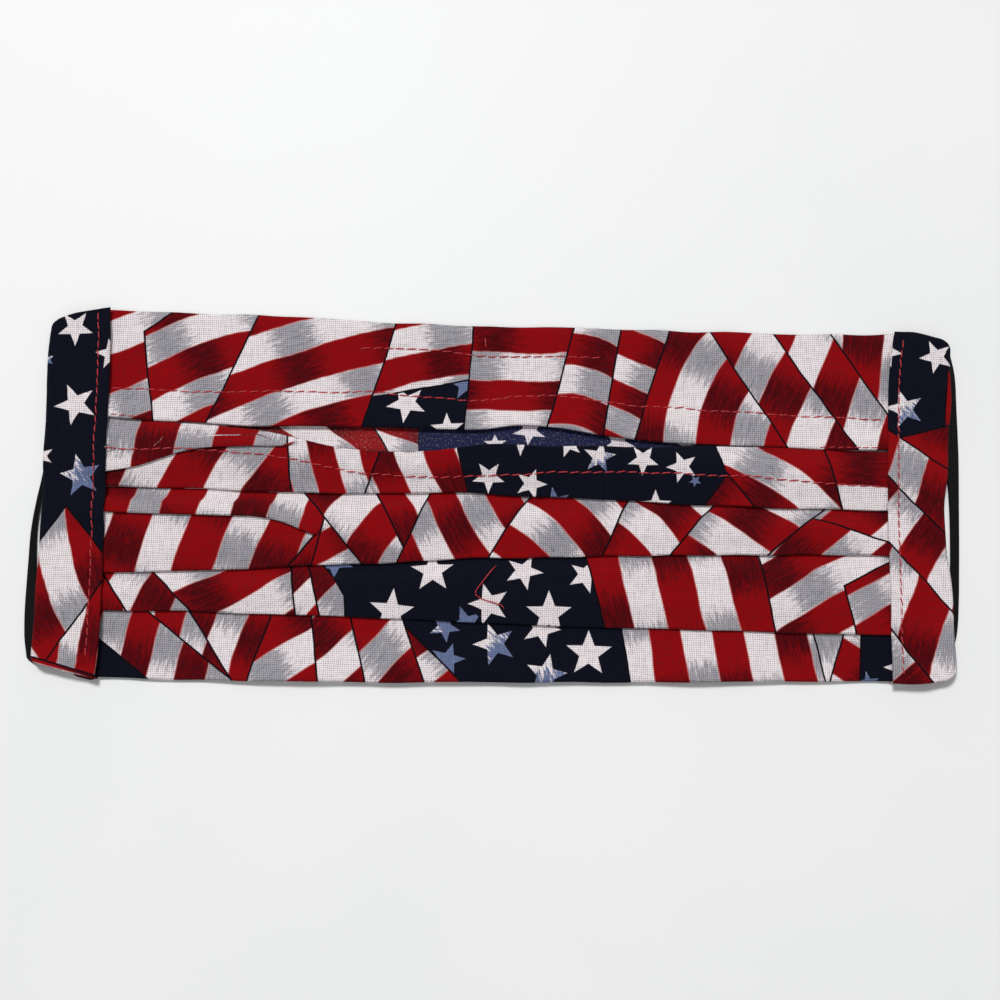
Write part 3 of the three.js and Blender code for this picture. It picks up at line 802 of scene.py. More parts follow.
def sewn_line(path, surface, seed, pitch=STITCH, radius=0.13):
    """Stitches along a path of (x, y) places, each dipping into the cloth at both ends."""
    random = np.random.default_rng(seed)
    path = np.asarray(path, float)
    run = np.concatenate([[0], np.cumsum(np.hypot(*np.diff(path, axis=0).T))])
    lines, radii = [], []
    start = random.random() * 0.5
    while start + pitch < run[-1]:
        stop = start + pitch * (0.94 + 0.12 * random.random())
        share = np.linspace(0, 1, 9)
        at = start + (stop - start) * share
        x, y = np.interp(at, run, path[:, 0]), np.interp(at, run, path[:, 1])
        way = np.array([x[-1] - x[0], y[-1] - y[0]])
        way /= np.linalg.norm(way)
        skew = (0.1 + 0.05 * random.standard_normal()) * (share - 0.5) * 2
        x, y = x - way[1] * skew, y + way[0] * skew
        tops = np.array([surface.top(a, b)[0] for a, b in zip(x, y)])
        smooth = np.interp(share, (0, 0.5, 1), (tops[0], max(tops[3:6].mean(), (tops[0] + tops[-1]) / 2), tops[-1]))
        arch = -0.13 + 0.26 * np.sin(math.pi * share) ** 0.5
        lines.append(np.stack([x, y, np.maximum(smooth, tops - 0.03) + arch], axis=1))
        radii.append(radius * (0.8 + 0.25 * np.sin(math.pi * share)))
        start = stop + STITCH_GAP * (0.8 + 0.5 * random.random())
    return lines, radii


def along_x(values, low, high, knots=None):
    """Places of a seam that follows one value a station, from x low to x high."""
    at = np.arange(low, high, 0.4)
    return np.stack([at, np.interp(at, X, values)], axis=1)


def linear(red, green, blue):
    """An 8-bit screen colour as Blender's linear colour."""
    shares = (value / 255 for value in (red, green, blue))
    return tuple(s / 12.92 if s <= 0.04045 else ((s + 0.055) / 1.055) ** 2.4 for s in shares) + (1.0,)


class Graph:
    """Short calls that add nodes to a tree. An input is a socket, a number or a tuple."""

    def __init__(self, tree):
        self.tree = tree

    def feed(self, socket, value):
        if isinstance(value, bpy.types.NodeSocket):
            self.tree.links.new(value, socket)
        elif value is not None:
            socket.default_value = value

    def node(self, kind, inputs=(), **settings):
        made = self.tree.nodes.new("ShaderNode" + kind)
        for name, value in settings.items():
            setattr(made, name, value)
        for key, value in dict(inputs).items():
            self.feed(made.inputs[key], value)
        return made

    def math(self, operation, a, b=None, c=None):
        made = self.node("Math", operation=operation)
        for index, value in enumerate((a, b, c)):
            if value is not None:
                self.feed(made.inputs[index], value)
        return made.outputs[0]

    def vector(self, operation, a, b=None, scale=None):
        made = self.node("VectorMath", operation=operation)
        self.feed(made.inputs[0], a)
        if b is not None:
            self.feed(made.inputs[1], b)
        if scale is not None:
            self.feed(made.inputs["Scale"], scale)
        return made.outputs["Value" if operation in ("DOT_PRODUCT", "LENGTH") else "Vector"]

    def mix(self, factor, a, b, kind="RGBA"):
        made = self.node("Mix", data_type=kind)
        first = {"FLOAT": 2, "VECTOR": 4, "RGBA": 6}[kind]
        self.feed(made.inputs[0], factor)
        self.feed(made.inputs[first], a)
        self.feed(made.inputs[first + 1], b)
        return made.outputs[{"FLOAT": 0, "VECTOR": 1, "RGBA": 2}[kind]]

    def ramp(self, value, low, high, to_low=0.0, to_high=1.0):
        inputs = {"Value": value, "From Min": low, "From Max": high, "To Min": to_low, "To Max": to_high}
        return self.node("MapRange", inputs, interpolation_type="SMOOTHSTEP").outputs["Result"]

    def split(self, vector):
        made = self.node("SeparateXYZ", {"Vector": vector})
        return made.outputs[0], made.outputs[1], made.outputs[2]

    def join(self, x, y, z=0.0):
        return self.node("CombineXYZ", {"X": x, "Y": y, "Z": z}).outputs[0]

    def noise(self, vector, scale, detail=2.0, roughness=0.5):
        inputs = {"Vector": vector, "Scale": scale, "Detail": detail, "Roughness": roughness}
        return self.node("TexNoise", inputs, noise_dimensions="3D").outputs["Fac"]

    def random(self, vector):
        return self.node("TexWhiteNoise", {"Vector": vector}, noise_dimensions="3D").outputs["Value"]

    def group(self, tree, inputs):
        made = self.tree.nodes.new("ShaderNodeGroup")
        made.node_tree = tree
        for key, value in inputs.items():
            self.feed(made.inputs[key], value)
        return made


def node_group(name, inputs, outputs):
    tree = bpy.data.node_groups.new(name, "ShaderNodeTree")
    for label, kind in inputs.items():
        tree.interface.new_socket(label, in_out="INPUT", socket_type="NodeSocket" + kind)
    for label, kind in outputs.items():
        tree.interface.new_socket(label, in_out="OUTPUT", socket_type="NodeSocket" + kind)
    graph = Graph(tree)
    return tree, graph, tree.nodes.new("NodeGroupInput").outputs, tree.nodes.new("NodeGroupOutput").inputs


RED, DARK_RED = linear(143, 4, 8), linear(72, 1, 6)
WHITE, GREY, DEEP_GREY = linear(236, 226, 228), linear(160, 157, 163), linear(112, 113, 124)
NAVY, PERIWINKLE = linear(8, 12, 26), linear(104, 116, 152)
INK, FRINGE = linear(8, 5, 10), linear(230, 146, 142)
# The share of red in a pair of stripes
RED_SHARE = 0.53


def striped_group():
    """Waving red and white stripes in one patch, shaded along their run with dry-brush streaks.

    Lie holds a patch's turn, the width of a pair of stripes and the across place of a red stripe's lower edge.
    Wave holds its bend, its kind and the run place where it bends least.
    """
    tree, g, got, out = node_group(
        "waving_stripes",
        {"Place": "Vector", "Lie": "Vector", "Wave": "Vector"},
        {"Color": "Color"},
    )
    turn, period, across_start = g.split(got["Lie"])
    bend, _, run_start = g.split(got["Wave"])
    turned = g.node(
        "VectorRotate", {"Vector": got["Place"], "Angle": g.math("MULTIPLY", turn, -1.0)}, rotation_type="Z_AXIS"
    ).outputs[0]
    run, across, _ = g.split(turned)
    along = g.math("SUBTRACT", run, run_start)
    arched = g.math("MULTIPLY", g.math("MULTIPLY", along, along), g.math("MULTIPLY", bend, 0.01))
    across = g.math("ADD", g.math("SUBTRACT", across, across_start), arched)
    wobble = g.noise(g.join(run, across, across_start), 0.1, 1.0)
    across = g.math("ADD", across, g.math("MULTIPLY", g.math("SUBTRACT", wobble, 0.5), 1.0))
    count = g.math("DIVIDE", across, period)
    share = g.math("FRACT", count)
    red = g.math("LESS_THAN", share, RED_SHARE)
    number = g.math("ADD", g.math("MULTIPLY", g.math("FLOOR", count), 2.0), red)
    to_start = g.math("PINGPONG", share, 0.5)
    to_middle = g.math("ABSOLUTE", g.math("SUBTRACT", share, RED_SHARE))
    to_edge = g.math("MULTIPLY", g.math("MINIMUM", to_start, to_middle), period)
    pick = g.random(g.join(number, run_start, 0.0))
    streaks = g.noise(g.join(g.math("MULTIPLY", run, 0.24), g.math("MULTIPLY", across, 1.7), number), 1.0, 4.0, 0.7)
    hairs = g.noise(g.join(g.math("MULTIPLY", run, 0.8), g.math("MULTIPLY", across, 4.6), number), 1.0, 1.0)
    fold = g.math("ADD", g.math("DIVIDE", run, 21.0), g.math("MULTIPLY", pick, 0.7))
    level = g.math("MULTIPLY", g.math("SINE", g.math("MULTIPLY", fold, 2 * math.pi)), 0.62)
    level = g.math("ADD", level, g.math("MULTIPLY", g.math("SUBTRACT", streaks, 0.5), 1.9))
    level = g.math("ADD", level, g.math("MULTIPLY", g.math("SUBTRACT", hairs, 0.5), 0.8))
    pale = g.mix(g.ramp(level, -0.15, 0.45), WHITE, GREY)
    pale = g.mix(g.ramp(level, 0.55, 1.3), pale, DEEP_GREY)
    tone = g.mix(red, pale, g.mix(g.ramp(level, -0.35, 0.85), RED, DARK_RED))
    rim = g.ramp(to_edge, 0.06, 0.24, 0.4, 0.0)
    g.feed(out["Color"], g.mix(rim, tone, FRINGE))
    return tree


def star_group():
    """One five-pointed star with a point up. Blue is 0 on a white star, 1 on a brushed blue one."""
    tree, g, got, out = node_group(
        "five_pointed_star",
        {"Place": "Vector", "Centre": "Vector", "Turn": "Float", "Radius": "Float", "Blue": "Float"},
        {"Star": "Float", "Brushed": "Float"},
    )
    local = g.vector("SUBTRACT", got["Place"], got["Centre"])
    local = g.node(
        "VectorRotate", {"Vector": local, "Angle": g.math("MULTIPLY", got["Turn"], -1.0)}, rotation_type="Z_AXIS"
    ).outputs[0]
    x, y, _ = g.split(local)
    bearing = g.math("PINGPONG", g.math("ARCTAN2", x, y), math.pi / 5)
    far = g.math("SQRT", g.math("ADD", g.math("MULTIPLY", x, x), g.math("MULTIPLY", y, y)))
    notch = 0.42
    side_x, side_y = 1 - notch * math.cos(math.pi / 5), notch * math.sin(math.pi / 5)
    size = math.hypot(side_x, side_y)
    normal_x, normal_y = side_y / size, side_x / size
    reach = g.math(
        "ADD",
        g.math("MULTIPLY", g.math("MULTIPLY", far, g.math("COSINE", bearing)), normal_x),
        g.math("MULTIPLY", g.math("MULTIPLY", far, g.math("SINE", bearing)), normal_y),
    )
    inside = g.math("SUBTRACT", g.math("MULTIPLY", got["Radius"], normal_x), reach)
    g.feed(out["Star"], g.ramp(inside, -0.06, 0.08))
    slanted = g.node("VectorRotate", {"Vector": local, "Angle": -0.5}, rotation_type="Z_AXIS").outputs[0]
    strokes = g.vector("ADD", g.vector("MULTIPLY", slanted, (1.7, 0.3, 1.0)), got["Centre"])
    streaks = g.noise(strokes, 1.0, 3.0, 0.65)
    below = g.math("MULTIPLY", g.math("DIVIDE", g.split(slanted)[1], got["Radius"]), -0.42)
    streaks = g.math("MULTIPLY", g.math("SUBTRACT", streaks, 0.5), 1.8)
    level = g.math("ADD", g.math("ADD", streaks, below), g.math("MULTIPLY", g.math("SUBTRACT", got["Blue"], 0.5), 1.5))
    g.feed(out["Brushed"], g.ramp(level, -0.12, 0.14))
    return tree


WEAVE_PITCH = 0.43


def weave_group():
    """Plain weave: the height of its threads, and a darkening made of painted shade in the gaps between threads plus
    uneven thread tone.
    """
    tree, g, got, out = node_group("plain_weave", {"Place": "Vector"}, {"Height": "Float", "GapShadeAndThreadTone": "Float"})
    pitch = WEAVE_PITCH
    slub = g.vector("SUBTRACT", g.node("TexNoise", {"Vector": got["Place"], "Scale": 0.35}).outputs["Color"], (0.5, 0.5, 0.5))
    x, y, _ = g.split(g.vector("ADD", got["Place"], g.vector("MULTIPLY", slub, (0.5, 0.5, 0.0))))
    warp = g.math("SINE", g.math("MULTIPLY", x, math.pi / pitch))
    weft = g.math("SINE", g.math("MULTIPLY", y, math.pi / pitch))
    over = g.math("MULTIPLY", g.math("COSINE", g.math("MULTIPLY", x, math.pi / pitch)),
                  g.math("COSINE", g.math("MULTIPLY", y, math.pi / pitch)))
    warp_threads = g.noise(g.vector("MULTIPLY", got["Place"], (2.6, 0.22, 1.0)), 1.0, 2.0, 0.7)
    weft_threads = g.noise(g.vector("MULTIPLY", got["Place"], (0.22, 2.6, 1.0)), 1.0, 2.0, 0.7)
    uneven = g.math("ADD", warp_threads, weft_threads)
    height = g.math("ADD", g.math("MULTIPLY", over, 0.5), g.math("MULTIPLY", uneven, 0.5))
    g.feed(out["Height"], height)
    open_x = g.math("SUBTRACT", 1.0, g.math("ABSOLUTE", warp))
    open_y = g.math("SUBTRACT", 1.0, g.math("ABSOLUTE", weft))
    # The open gaps between threads are darkened: painted shade between the threads.
    shaded_gaps = g.math("ADD", g.math("MULTIPLY", open_x, open_y), g.math("MULTIPLY", g.math("ADD", open_x, open_y), 0.28))
    # Lower threads are darkened too: partly uneven thread tone, partly painted shade where they lie low.
    threads = g.math("MULTIPLY", g.math("SUBTRACT", 1.0, uneven), 0.9)
    g.feed(out["GapShadeAndThreadTone"], g.math("ADD", shaded_gaps, threads))
    return tree


STRIPED, STARRED, WOVEN = striped_group(), star_group(), weave_group()


def new_material(name):
    made = bpy.data.materials.new(name)
    made.use_nodes = True
    tree = made.node_tree
    shader = next(node for node in tree.nodes if node.type == "BSDF_PRINCIPLED")
    return made, Graph(tree), shader


def nearest_star(g, place, stars):
    """The star of the list that lies nearest, as the shares of white star and of brushed blue at each place."""
    centre, turn, radius, blue, nearest = (0.0, -500.0, 0.0), 0.0, 1.0, 0.0, 1000.0
    for x, y, this_radius, this_turn, this_blue in stars:
        away = g.vector("LENGTH", g.vector("SUBTRACT", place, (x, y, 0.0)))
        away = g.math("DIVIDE", away, this_radius)
        closer = g.math("LESS_THAN", away, nearest)
        centre = g.mix(closer, centre, (x, y, 0.0), "VECTOR")
        turn = g.mix(closer, turn, math.radians(this_turn), "FLOAT")
        radius = g.mix(closer, radius, this_radius, "FLOAT")
        blue = g.mix(closer, blue, float(this_blue), "FLOAT")
        nearest = g.math("MINIMUM", nearest, away)
    found = g.group(STARRED, {"Place": place, "Centre": centre, "Turn": turn, "Radius": radius, "Blue": blue})
    return found.outputs["Star"], found.outputs["Brushed"]


def print_material(name, patches, stars, wrong_side=False, grown=1.0, raised=0.0):
    """Printed cotton. patches are laid over each other in turn, each inside its straight cuts.

    grown and raised fit a panel to places measured on the photo, where a high panel looks larger and higher.

    A patch is (cuts, STARS) or (cuts, place, turn, period, bend). A cut is (x, y, way): the patch lies on the
    side that way, in degrees, points to. place is on a red stripe's lower edge and period is the width of a
    pair of stripes. A star is (x, y, radius, turn, blue).
    """
    made, g, shader = new_material(name)
    flat = g.vector("SCALE", g.node("UVMap", uv_map="cloth").outputs["UV"], scale=1000.0)
    drift = g.vector("SUBTRACT", g.node("TexNoise", {"Vector": flat, "Scale": 0.07}).outputs["Color"], (0.5, 0.5, 0.5))
    fitted = g.vector("ADD", g.vector("SCALE", flat, scale=grown), (0.0, raised, 0.0))
    place = g.vector("ADD", fitted, g.vector("MULTIPLY", drift, (1.0, 1.0, 0.0)))
    lie, wave, to_cut = (0.6, 13.0, 0.0), (0.5, 0.0, 1.0), 50.0
    for cuts, *stripes in patches:
        if stripes == [STARS]:
            this_lie, this_wave = (0.0, 13.0, 0.0), (0.0, 1.0, 0.0)
        else:
            (x, y), turn, period, bend = stripes
            cos, sin = math.cos(math.radians(turn)), math.sin(math.radians(turn))
            this_lie = (math.radians(turn), period, y * cos - x * sin)
            this_wave = (bend, 0.0, x * cos + y * sin)
        if not cuts:
            lie, wave = this_lie, this_wave
            continue
        signed = None
        for x, y, way in cuts:
            normal = (math.cos(math.radians(way)), math.sin(math.radians(way)), 0.0)
            away = g.math("SUBTRACT", g.vector("DOT_PRODUCT", place, normal), x * normal[0] + y * normal[1])
            signed = away if signed is None else g.math("MINIMUM", signed, away)
        inside = g.math("GREATER_THAN", signed, 0.0)
        away = g.math("ABSOLUTE", signed)
        lie = g.mix(inside, lie, this_lie, "VECTOR")
        wave = g.mix(inside, wave, this_wave, "VECTOR")
        to_cut = g.mix(inside, g.math("MINIMUM", to_cut, away), away, "FLOAT")
    colour = g.group(STRIPED, {"Place": place, "Lie": lie, "Wave": wave}).outputs["Color"]
    if stars:
        star, brushed = nearest_star(g, place, stars)
        starry = g.mix(star, NAVY, g.mix(brushed, WHITE, PERIWINKLE))
        _, kind, _ = g.split(wave)
        colour = g.mix(kind, colour, starry)
    uneven = g.noise(place, 0.9, 2.0)
    colour = g.mix(g.ramp(to_cut, 0.12, 0.27, 1.0, 0.0), colour, INK)
    weave = g.group(WOVEN, {"Place": flat})
    if wrong_side:
        specks = g.noise(g.vector("MULTIPLY", flat, (4.6, 1.6, 1.0)), 1.0, 2.0, 0.7)
        faded = g.mix(g.math("MULTIPLY", g.split(wave)[1], 0.055), colour, linear(60, 90, 225))
        faded = g.mix(0.01, faded, WHITE)
        colour = g.mix(g.ramp(specks, 0.57, 0.76, 0.0, 0.42), faded, WHITE)
    # The weave's gaps and low threads mix the colour towards near-black: painted shade between the threads, with uneven
    # thread tone.
    gap_shade = g.math("SUBTRACT", g.math("MULTIPLY", weave.outputs["GapShadeAndThreadTone"], 1.25), 0.26)
    colour = g.mix(gap_shade, colour, g.mix(0.75, colour, linear(28, 24, 32)))
    fibre = g.math("MULTIPLY", g.math("SUBTRACT", uneven, 0.5), 0.2)
    colour = g.node("HueSaturation", {"Value": g.math("ADD", fibre, 1.0), "Color": colour}).outputs["Color"]
    bump = g.node("Bump", {"Strength": 0.7, "Distance": 0.00008, "Height": weave.outputs["Height"]})
    g.feed(shader.inputs["Base Color"], colour)
    g.feed(shader.inputs["Roughness"], g.ramp(uneven, 0.2, 0.8, 0.85, 0.97))
    g.feed(shader.inputs["Normal"], bump.outputs["Normal"])
    shader.inputs["Specular IOR Level"].default_value = 0.04
    shader.inputs["Sheen Weight"].default_value = 0.02
    shader.inputs["Sheen Roughness"].default_value = 0.6
    return made


STARS = "stars"

# The print of each panel, laid out from left to right
BAND_PATCHES = (
    ([], (-81.8, 20.2), 27, 14.5, 0.3),
    ([(-73.5, 24.8, 9), (-72.4, 36.0, -54)], (-63.2, 23.8), 24, 13.5, 0.7),
    ([(-55.9, 26.4, -23)], (-45.5, 21.8), 21, 13.2, 0.3),
    ([(-25.3, 25.3, -16)], (-15.9, 24.3), 13, 12, 0.5),
    ([(-25.3, 25.3, -16), (-17.2, 22.6, -78)], STARS),
    ([(-6.6, 24.9, -4)], (1.8, 18.1), 0, 12.7, -0.2),
    ([(12.6, 25.5, -14)], (16.2, 28.4), -8, 13.3, 3.0),
    ([(23.2, 24.3, -9)], (28.1, 29.6), -24, 11.1, 0.4),
    ([(31.7, 24.4, -17)], (37.2, 26.2), 66, 14.5, 1.5),
    ([(52.0, 23.3, 33)], (61.8, 18.0), 68, 16, 0.6),
    ([(65.6, 23.7, 35)], (73.4, 21.8), 71, 16, 0.5),
    ([(75.2, 27.3, 34)], (79.6, 28.7), 83.5, 16, 0),
)
BAND_STARS = ((-19.5, 19.3, 4.2, 29, 0), (-10.8, 13.8, 3.6, 4, 0), (-7.4, 24, 3.6, 10, 0.85))
LIP_PATCHES = (
    ([], (-58.9, 4.6), 58, 15.6, 0.5),
    ([(-43.2, 5.5, 5)], (-33.7, 9.2), 104, 10.3, 0.3),
    ([(-26.2, 4.0, -19)], (-19.6, 4.6), 113, 11.8, 0.8),
    ([(-7.2, 4.9, 15)], STARS),
    ([(45.9, 8.6, 19)], (60.0, 7.8), -33, 13.5, 0.9),
    ([(45.0, 2.7, -34), (50.0, 2.4, -140)], (49.0, -6.1), -30, 30, 0),
    ([(69.2, 5.1, 16)], (75.2, 3.4), -2, 15, 0),
)
LIP_FLAP_PATCHES = (([], (-66.3, 12.0), 81, 16.1, 0.3),) + LIP_PATCHES[1:]
LIP_STARS = (
    (-2.1, 4.2, 3.4, 36, 0),
    (6.6, 2.8, 3.4, -18, 0),
    (4.5, 11.8, 3.2, 34, 0),
    (14.4, 11.4, 3.0, 15, 0),
    (20.7, 8.6, 3.4, -8, 0.45),
    (29.6, 8.3, 3.3, 36, 0),
    (37.7, 7.1, 3.4, 20, 0),
    (11.7, -0.9, 3.2, 12, 0.85),
    (32.4, -1.2, 3.4, 2, 0),
    (40.4, 4.2, 1.3, 30, 1),
)
MID_PATCHES = (
    ([], (-56.4, -10.3), 70, 15.3, 0.6),
    ([(-40.4, -12.0, -39)], (-33.0, -14.0), 90, 30, 0),
    ([(-35.1, -3.3, -15)], (-33.2, -12.7), 26, 11, 0),
    ([(-31.9, -9.2, 39)], (-22.7, -11.2), 57, 14.5, 1.7),
    ([(-22.2, -5.2, 27)], (-17.4, -2.0), 118, 13, 0),
    ([(-17.6, -7.0, -24)], (-5.6, -5.6), 120, 12, 1.2),
    ([(1.8, -6.8, -33)], (10.9, -4.0), -38, 12.6, 1.5),
    ([(24.0, -6.4, -24)], (33.7, -4.5), -45, 13.6, 1.0),
    ([(39.7, -6.3, -39)], (49.4, -5.8), -35, 14.2, 0.3),
    ([(61.3, -6.1, -50)], (69.6, -8.0), 43, 14, 0.3),
    ([(61.3, -6.1, -50), (72.8, -5.7, 74)], (79.0, -4.6), 43, 18, 0),
)
FLAP_PATCHES = (([], (-60.8, -1.8), 75, 14.1, 0.3),) + MID_PATCHES[2:]
LOW_PATCHES = (
    ([], (-75.0, -21.2), 75, 16, 0),
    ([(-78.0, -21.0, 33)], (-64.8, -20.8), 63, 14, 0.4),
    ([(-65.5, -21.3, 45)], (-50.4, -21.2), 30, 14, -0.4),
    ([(-41.6, -20.2, 6)], (-39.8, -19.1), 47, 10, 0),
    ([(-37.2, -20.1, 15)], STARS),
    ([(-37.2, -20.1, 15), (-32.8, -18.3, -146), (-30.9, -22.4, -176)], (-34.4, -20.0), 47, 14, 0.6),
    ([(20.2, -19.1, 14)], (26.4, -19.0), 103, 14.1, 0.4),
    ([(55.3, -18.7, 12)], (62.6, -15.7), 31, 13.4, 0.3),
    ([(72.0, -21.5, 14), (75.8, -14.7, -61)], (76.2, -16.9), 29, 12, 0.2),
)
LOW_STARS = (
    (-33.4, -13.4, 4.0, 36, 0.8),
    (-21.3, -24.1, 4.8, -4, 0.24),
    (-13.2, -15.3, 4.7, 3, 0),
    (-6.2, -26.2, 3.8, 20, 0.85),
    (-1.6, -22.1, 4.4, 18, 0),
    (5.5, -15.3, 4.0, -24, 0),
    (10.6, -24.0, 4.8, 0, 0),
    (18.2, -15.9, 3.8, 50, 0),
)
CHIN_PATCHES = (
    ([], (-69.8, -32.5), 77, 12, 0.3),
    ([(-76.8, -33.6, -128)], STARS),
    ([(-62.7, -31.2, 53)], (-64.0, -27.9), 78, 12, 0.3),
    ([(-58.8, -30.3, 34)], (-58.1, -27.4), 72, 13, 1.2),
    ([(-48.1, -31.4, -17)], (-43.5, -31.0), 33, 15, 0.3),
    ([(-36.8, -31.3, 8)], (-32.8, -31.2), 44, 14, 0),
    ([(-28.1, -31.8, 14)], (-24.1, -28.5), 47, 14.5, 0.5),
    ([(-16.8, -31.6, 20)], (-14.8, -32.6), 40, 12, 0),
    ([(-16.8, -31.6, 20), (-12.7, -32.5, 46)], STARS),
    ([(26.5, -31.8, 10)], (38.6, -31.7), 100, 12.7, 0.3),
    ([(65.9, -31.6, 14)], (65.2, -31.3), 100, 30, 0),
    ([(69.7, -31.4, -17)], (72.6, -37.5), -32, 14, 0),
    ([(74.4, -31.4, -1)], STARS),
)
CHIN_STARS = (
    (-10.6, -26.8, 3.2, 44, 0.7),
    (-9.8, -33.6, 3.6, -14, 0.95),
    (-0.2, -30.1, 4.6, 20, 0.55),
    (9.2, -26.8, 4.0, -21, 0),
    (10.4, -36.4, 4.4, -10, 0.55),
    (19.0, -31.7, 4.8, 0, 0),
    (75.9, -36.9, 2.4, 8, 0.8),
    (82.4, -33.4, 3.4, 20, 0),
)
WRONG_PATCHES = (
    ([], (-33, 12), -38, 12.5, 0),
    ([(-24, 11, 30)], (-20, 12), -24, 12, 0),
    ([(-16.5, 11, 3)], STARS),
    ([(46, 11, 20)], (50, 12), -30, 13, 0),
)
WRONG_STARS = ((-0.9, 10.9, 2.6, 0, 0), (6.3, 14.2, 3.6, 30, 0), (24.7, 12, 3.5, 44, 0), (39.2, 12.1, 2.4, 10, 0))
LEFT_PATCHES = (
    ([], STARS),
    ([(-91.8, -6.1, -36), (-85.7, -7.8, -140)], (-91.6, -23.1), 115, 14.4, 1.0),
    ([(-87.9, -28.8, -33)], (-81.9, -36.5), 82, 8, 0),
    ([(-92.0, -35.3, -104.3)], (-92.0, -36.1), -14.3, 12, 0),
)
LEFT_STARS = (
    (-90.1, 34.8, 3.9, 40, 0),
    (-82.2, 29.3, 3.4, 12, 0.15),
    (-95.6, 27.6, 1.6, 20, 0.5),
    (-89.0, 18.3, 4.6, 26, 0),
    (-95.4, 7.2, 2.4, 20, 0),
    (-87.0, 3.2, 4.6, 12, 0.62),
    (-80.2, 9.8, 2.0, 30, 0),
)
RIGHT_PATCHES = (
    ([], STARS),
    ([(93.9, 25.0, -4), (93.6, 28.6, -60)], (96.0, 10.0), 90, 30, 0),
    ([(89.1, 15.8, -75)], (94.9, 3.5), 60, 30, 0),
    ([(87.9, 11.7, -123)], (96.8, 5.8), 68, 15, 0.6),
    ([(87.4, -0.3, -135)], (90.6, -12.3), 60, 15, 1.2),
    ([(87.4, -14.6, -138)], (91.0, -28.2), 71, 15.5, 0.2),
    ([(84.9, -30.4, -143)], (89.9, -40.2), 40, 16, 0),
)
RIGHT_STARS = ((92.0, 31.9, 3.7, 22, 0), (85.0, 20.6, 4.2, 16, 0.45), (81.6, 32.8, 3.4, 50, 0))


def thread_material(name, base, lit_crest_and_pale_fibre):
    made, g, shader = new_material(name)
    flat = g.node("UVMap", uv_map="cloth").outputs["UV"]
    around, run, _ = g.split(flat)
    twist = g.math("SINE", g.math("ADD", g.math("MULTIPLY", run, 2 * math.pi * 1000 / 0.8), g.math("MULTIPLY", around, math.pi * 1000 / 3)))
    fuzz = g.noise(g.node("NewGeometry").outputs["Position"], 2600.0, 2.0)
    # Colour follows the thread's height: lighter on the twist's crests, a painted highlight, and varied by the noise's
    # random fibre tone.
    level = g.math("ADD", g.math("MULTIPLY", twist, 0.3), fuzz)
    g.feed(shader.inputs["Base Color"], g.mix(g.ramp(level, 0.1, 0.9), base, lit_crest_and_pale_fibre))
    bump = g.node("Bump", {"Strength": 0.6, "Distance": 0.00004, "Height": level})
    g.feed(shader.inputs["Normal"], bump.outputs["Normal"])
    g.feed(shader.inputs["Roughness"], g.ramp(fuzz, 0.3, 0.7, 0.45, 0.65))
    shader.inputs["Sheen Weight"].default_value = 0.15
    return made


def elastic_material():
    made, g, shader = new_material("black_elastic")
    flat = g.vector("SCALE", g.node("UVMap", uv_map="cloth").outputs["UV"], scale=1000.0)
    across, run, _ = g.split(flat)
    knit = g.math("SINE", g.math("MULTIPLY", run, 2 * math.pi / 0.55))
    cord = g.math("ABSOLUTE", g.math("SINE", g.math("MULTIPLY", across, math.pi * 5 / STRAP_WIDTH)))
    fuzz = g.noise(flat, 6.0, 3.0, 0.7)
    level = g.math("ADD", g.math("MULTIPLY", g.math("MULTIPLY", knit, cord), 0.3), g.math("MULTIPLY", fuzz, 0.7))
    # Colour follows the same height as the bump: lighter where knit and ribs stand highest, a painted highlight, with
    # random fibre tone.
    g.feed(shader.inputs["Base Color"], g.mix(g.ramp(level, 0.15, 0.8), linear(4, 4, 5), linear(17, 17, 19)))
    g.feed(shader.inputs["Roughness"], g.ramp(fuzz, 0.3, 0.7, 0.55, 0.8))
    bump = g.node("Bump", {"Strength": 0.7, "Distance": 0.00008, "Height": level})
    g.feed(shader.inputs["Normal"], bump.outputs["Normal"])
    shader.inputs["Sheen Weight"].default_value = 0.03
    shader.inputs["Specular IOR Level"].default_value = 0.12
    return made


def table_material():
    made, g, shader = new_material("pale_table")
    place = g.node("NewGeometry").outputs["Position"]
    tone = g.noise(place, 9.0, 3.0)
    grain = g.noise(place, 420.0, 2.0)
    g.feed(shader.inputs["Base Color"], g.mix(g.ramp(tone, 0.3, 0.7), linear(236, 237, 236), linear(240, 240, 239)))
    g.feed(shader.inputs["Roughness"], g.ramp(tone, 0.3, 0.7, 0.5, 0.58))
    bump = g.node("Bump", {"Strength": 0.05, "Distance": 0.0001, "Height": grain})
    g.feed(shader.inputs["Normal"], bump.outputs["Normal"])
    return made


panels = {
    "chin": print_material("print_chin", CHIN_PATCHES, CHIN_STARS),
    "low": print_material("print_low", LOW_PATCHES, LOW_STARS),
    "mid": print_material("print_mid", MID_PATCHES, ()),
    "flap": print_material("print_flap", FLAP_PATCHES, ()),
    "lip_flap": print_material("print_lip_flap", LIP_FLAP_PATCHES, LIP_STARS),
    "lip": print_material("print_lip", LIP_PATCHES, LIP_STARS),
    "front": print_material("print_front", BAND_PATCHES, BAND_STARS),
    "band": print_material("print_band", BAND_PATCHES, BAND_STARS),
    "wrong": print_material("print_wrong_side", WRONG_PATCHES, WRONG_STARS, wrong_side=True),
}
body = cloth_from_loop("pleated_cloth", pleated_body(), panels)
lining = cloth_from_loop("upper_lining_cloth", upper_lining(), {"band": panels["band"], "wrong": panels["wrong"]})

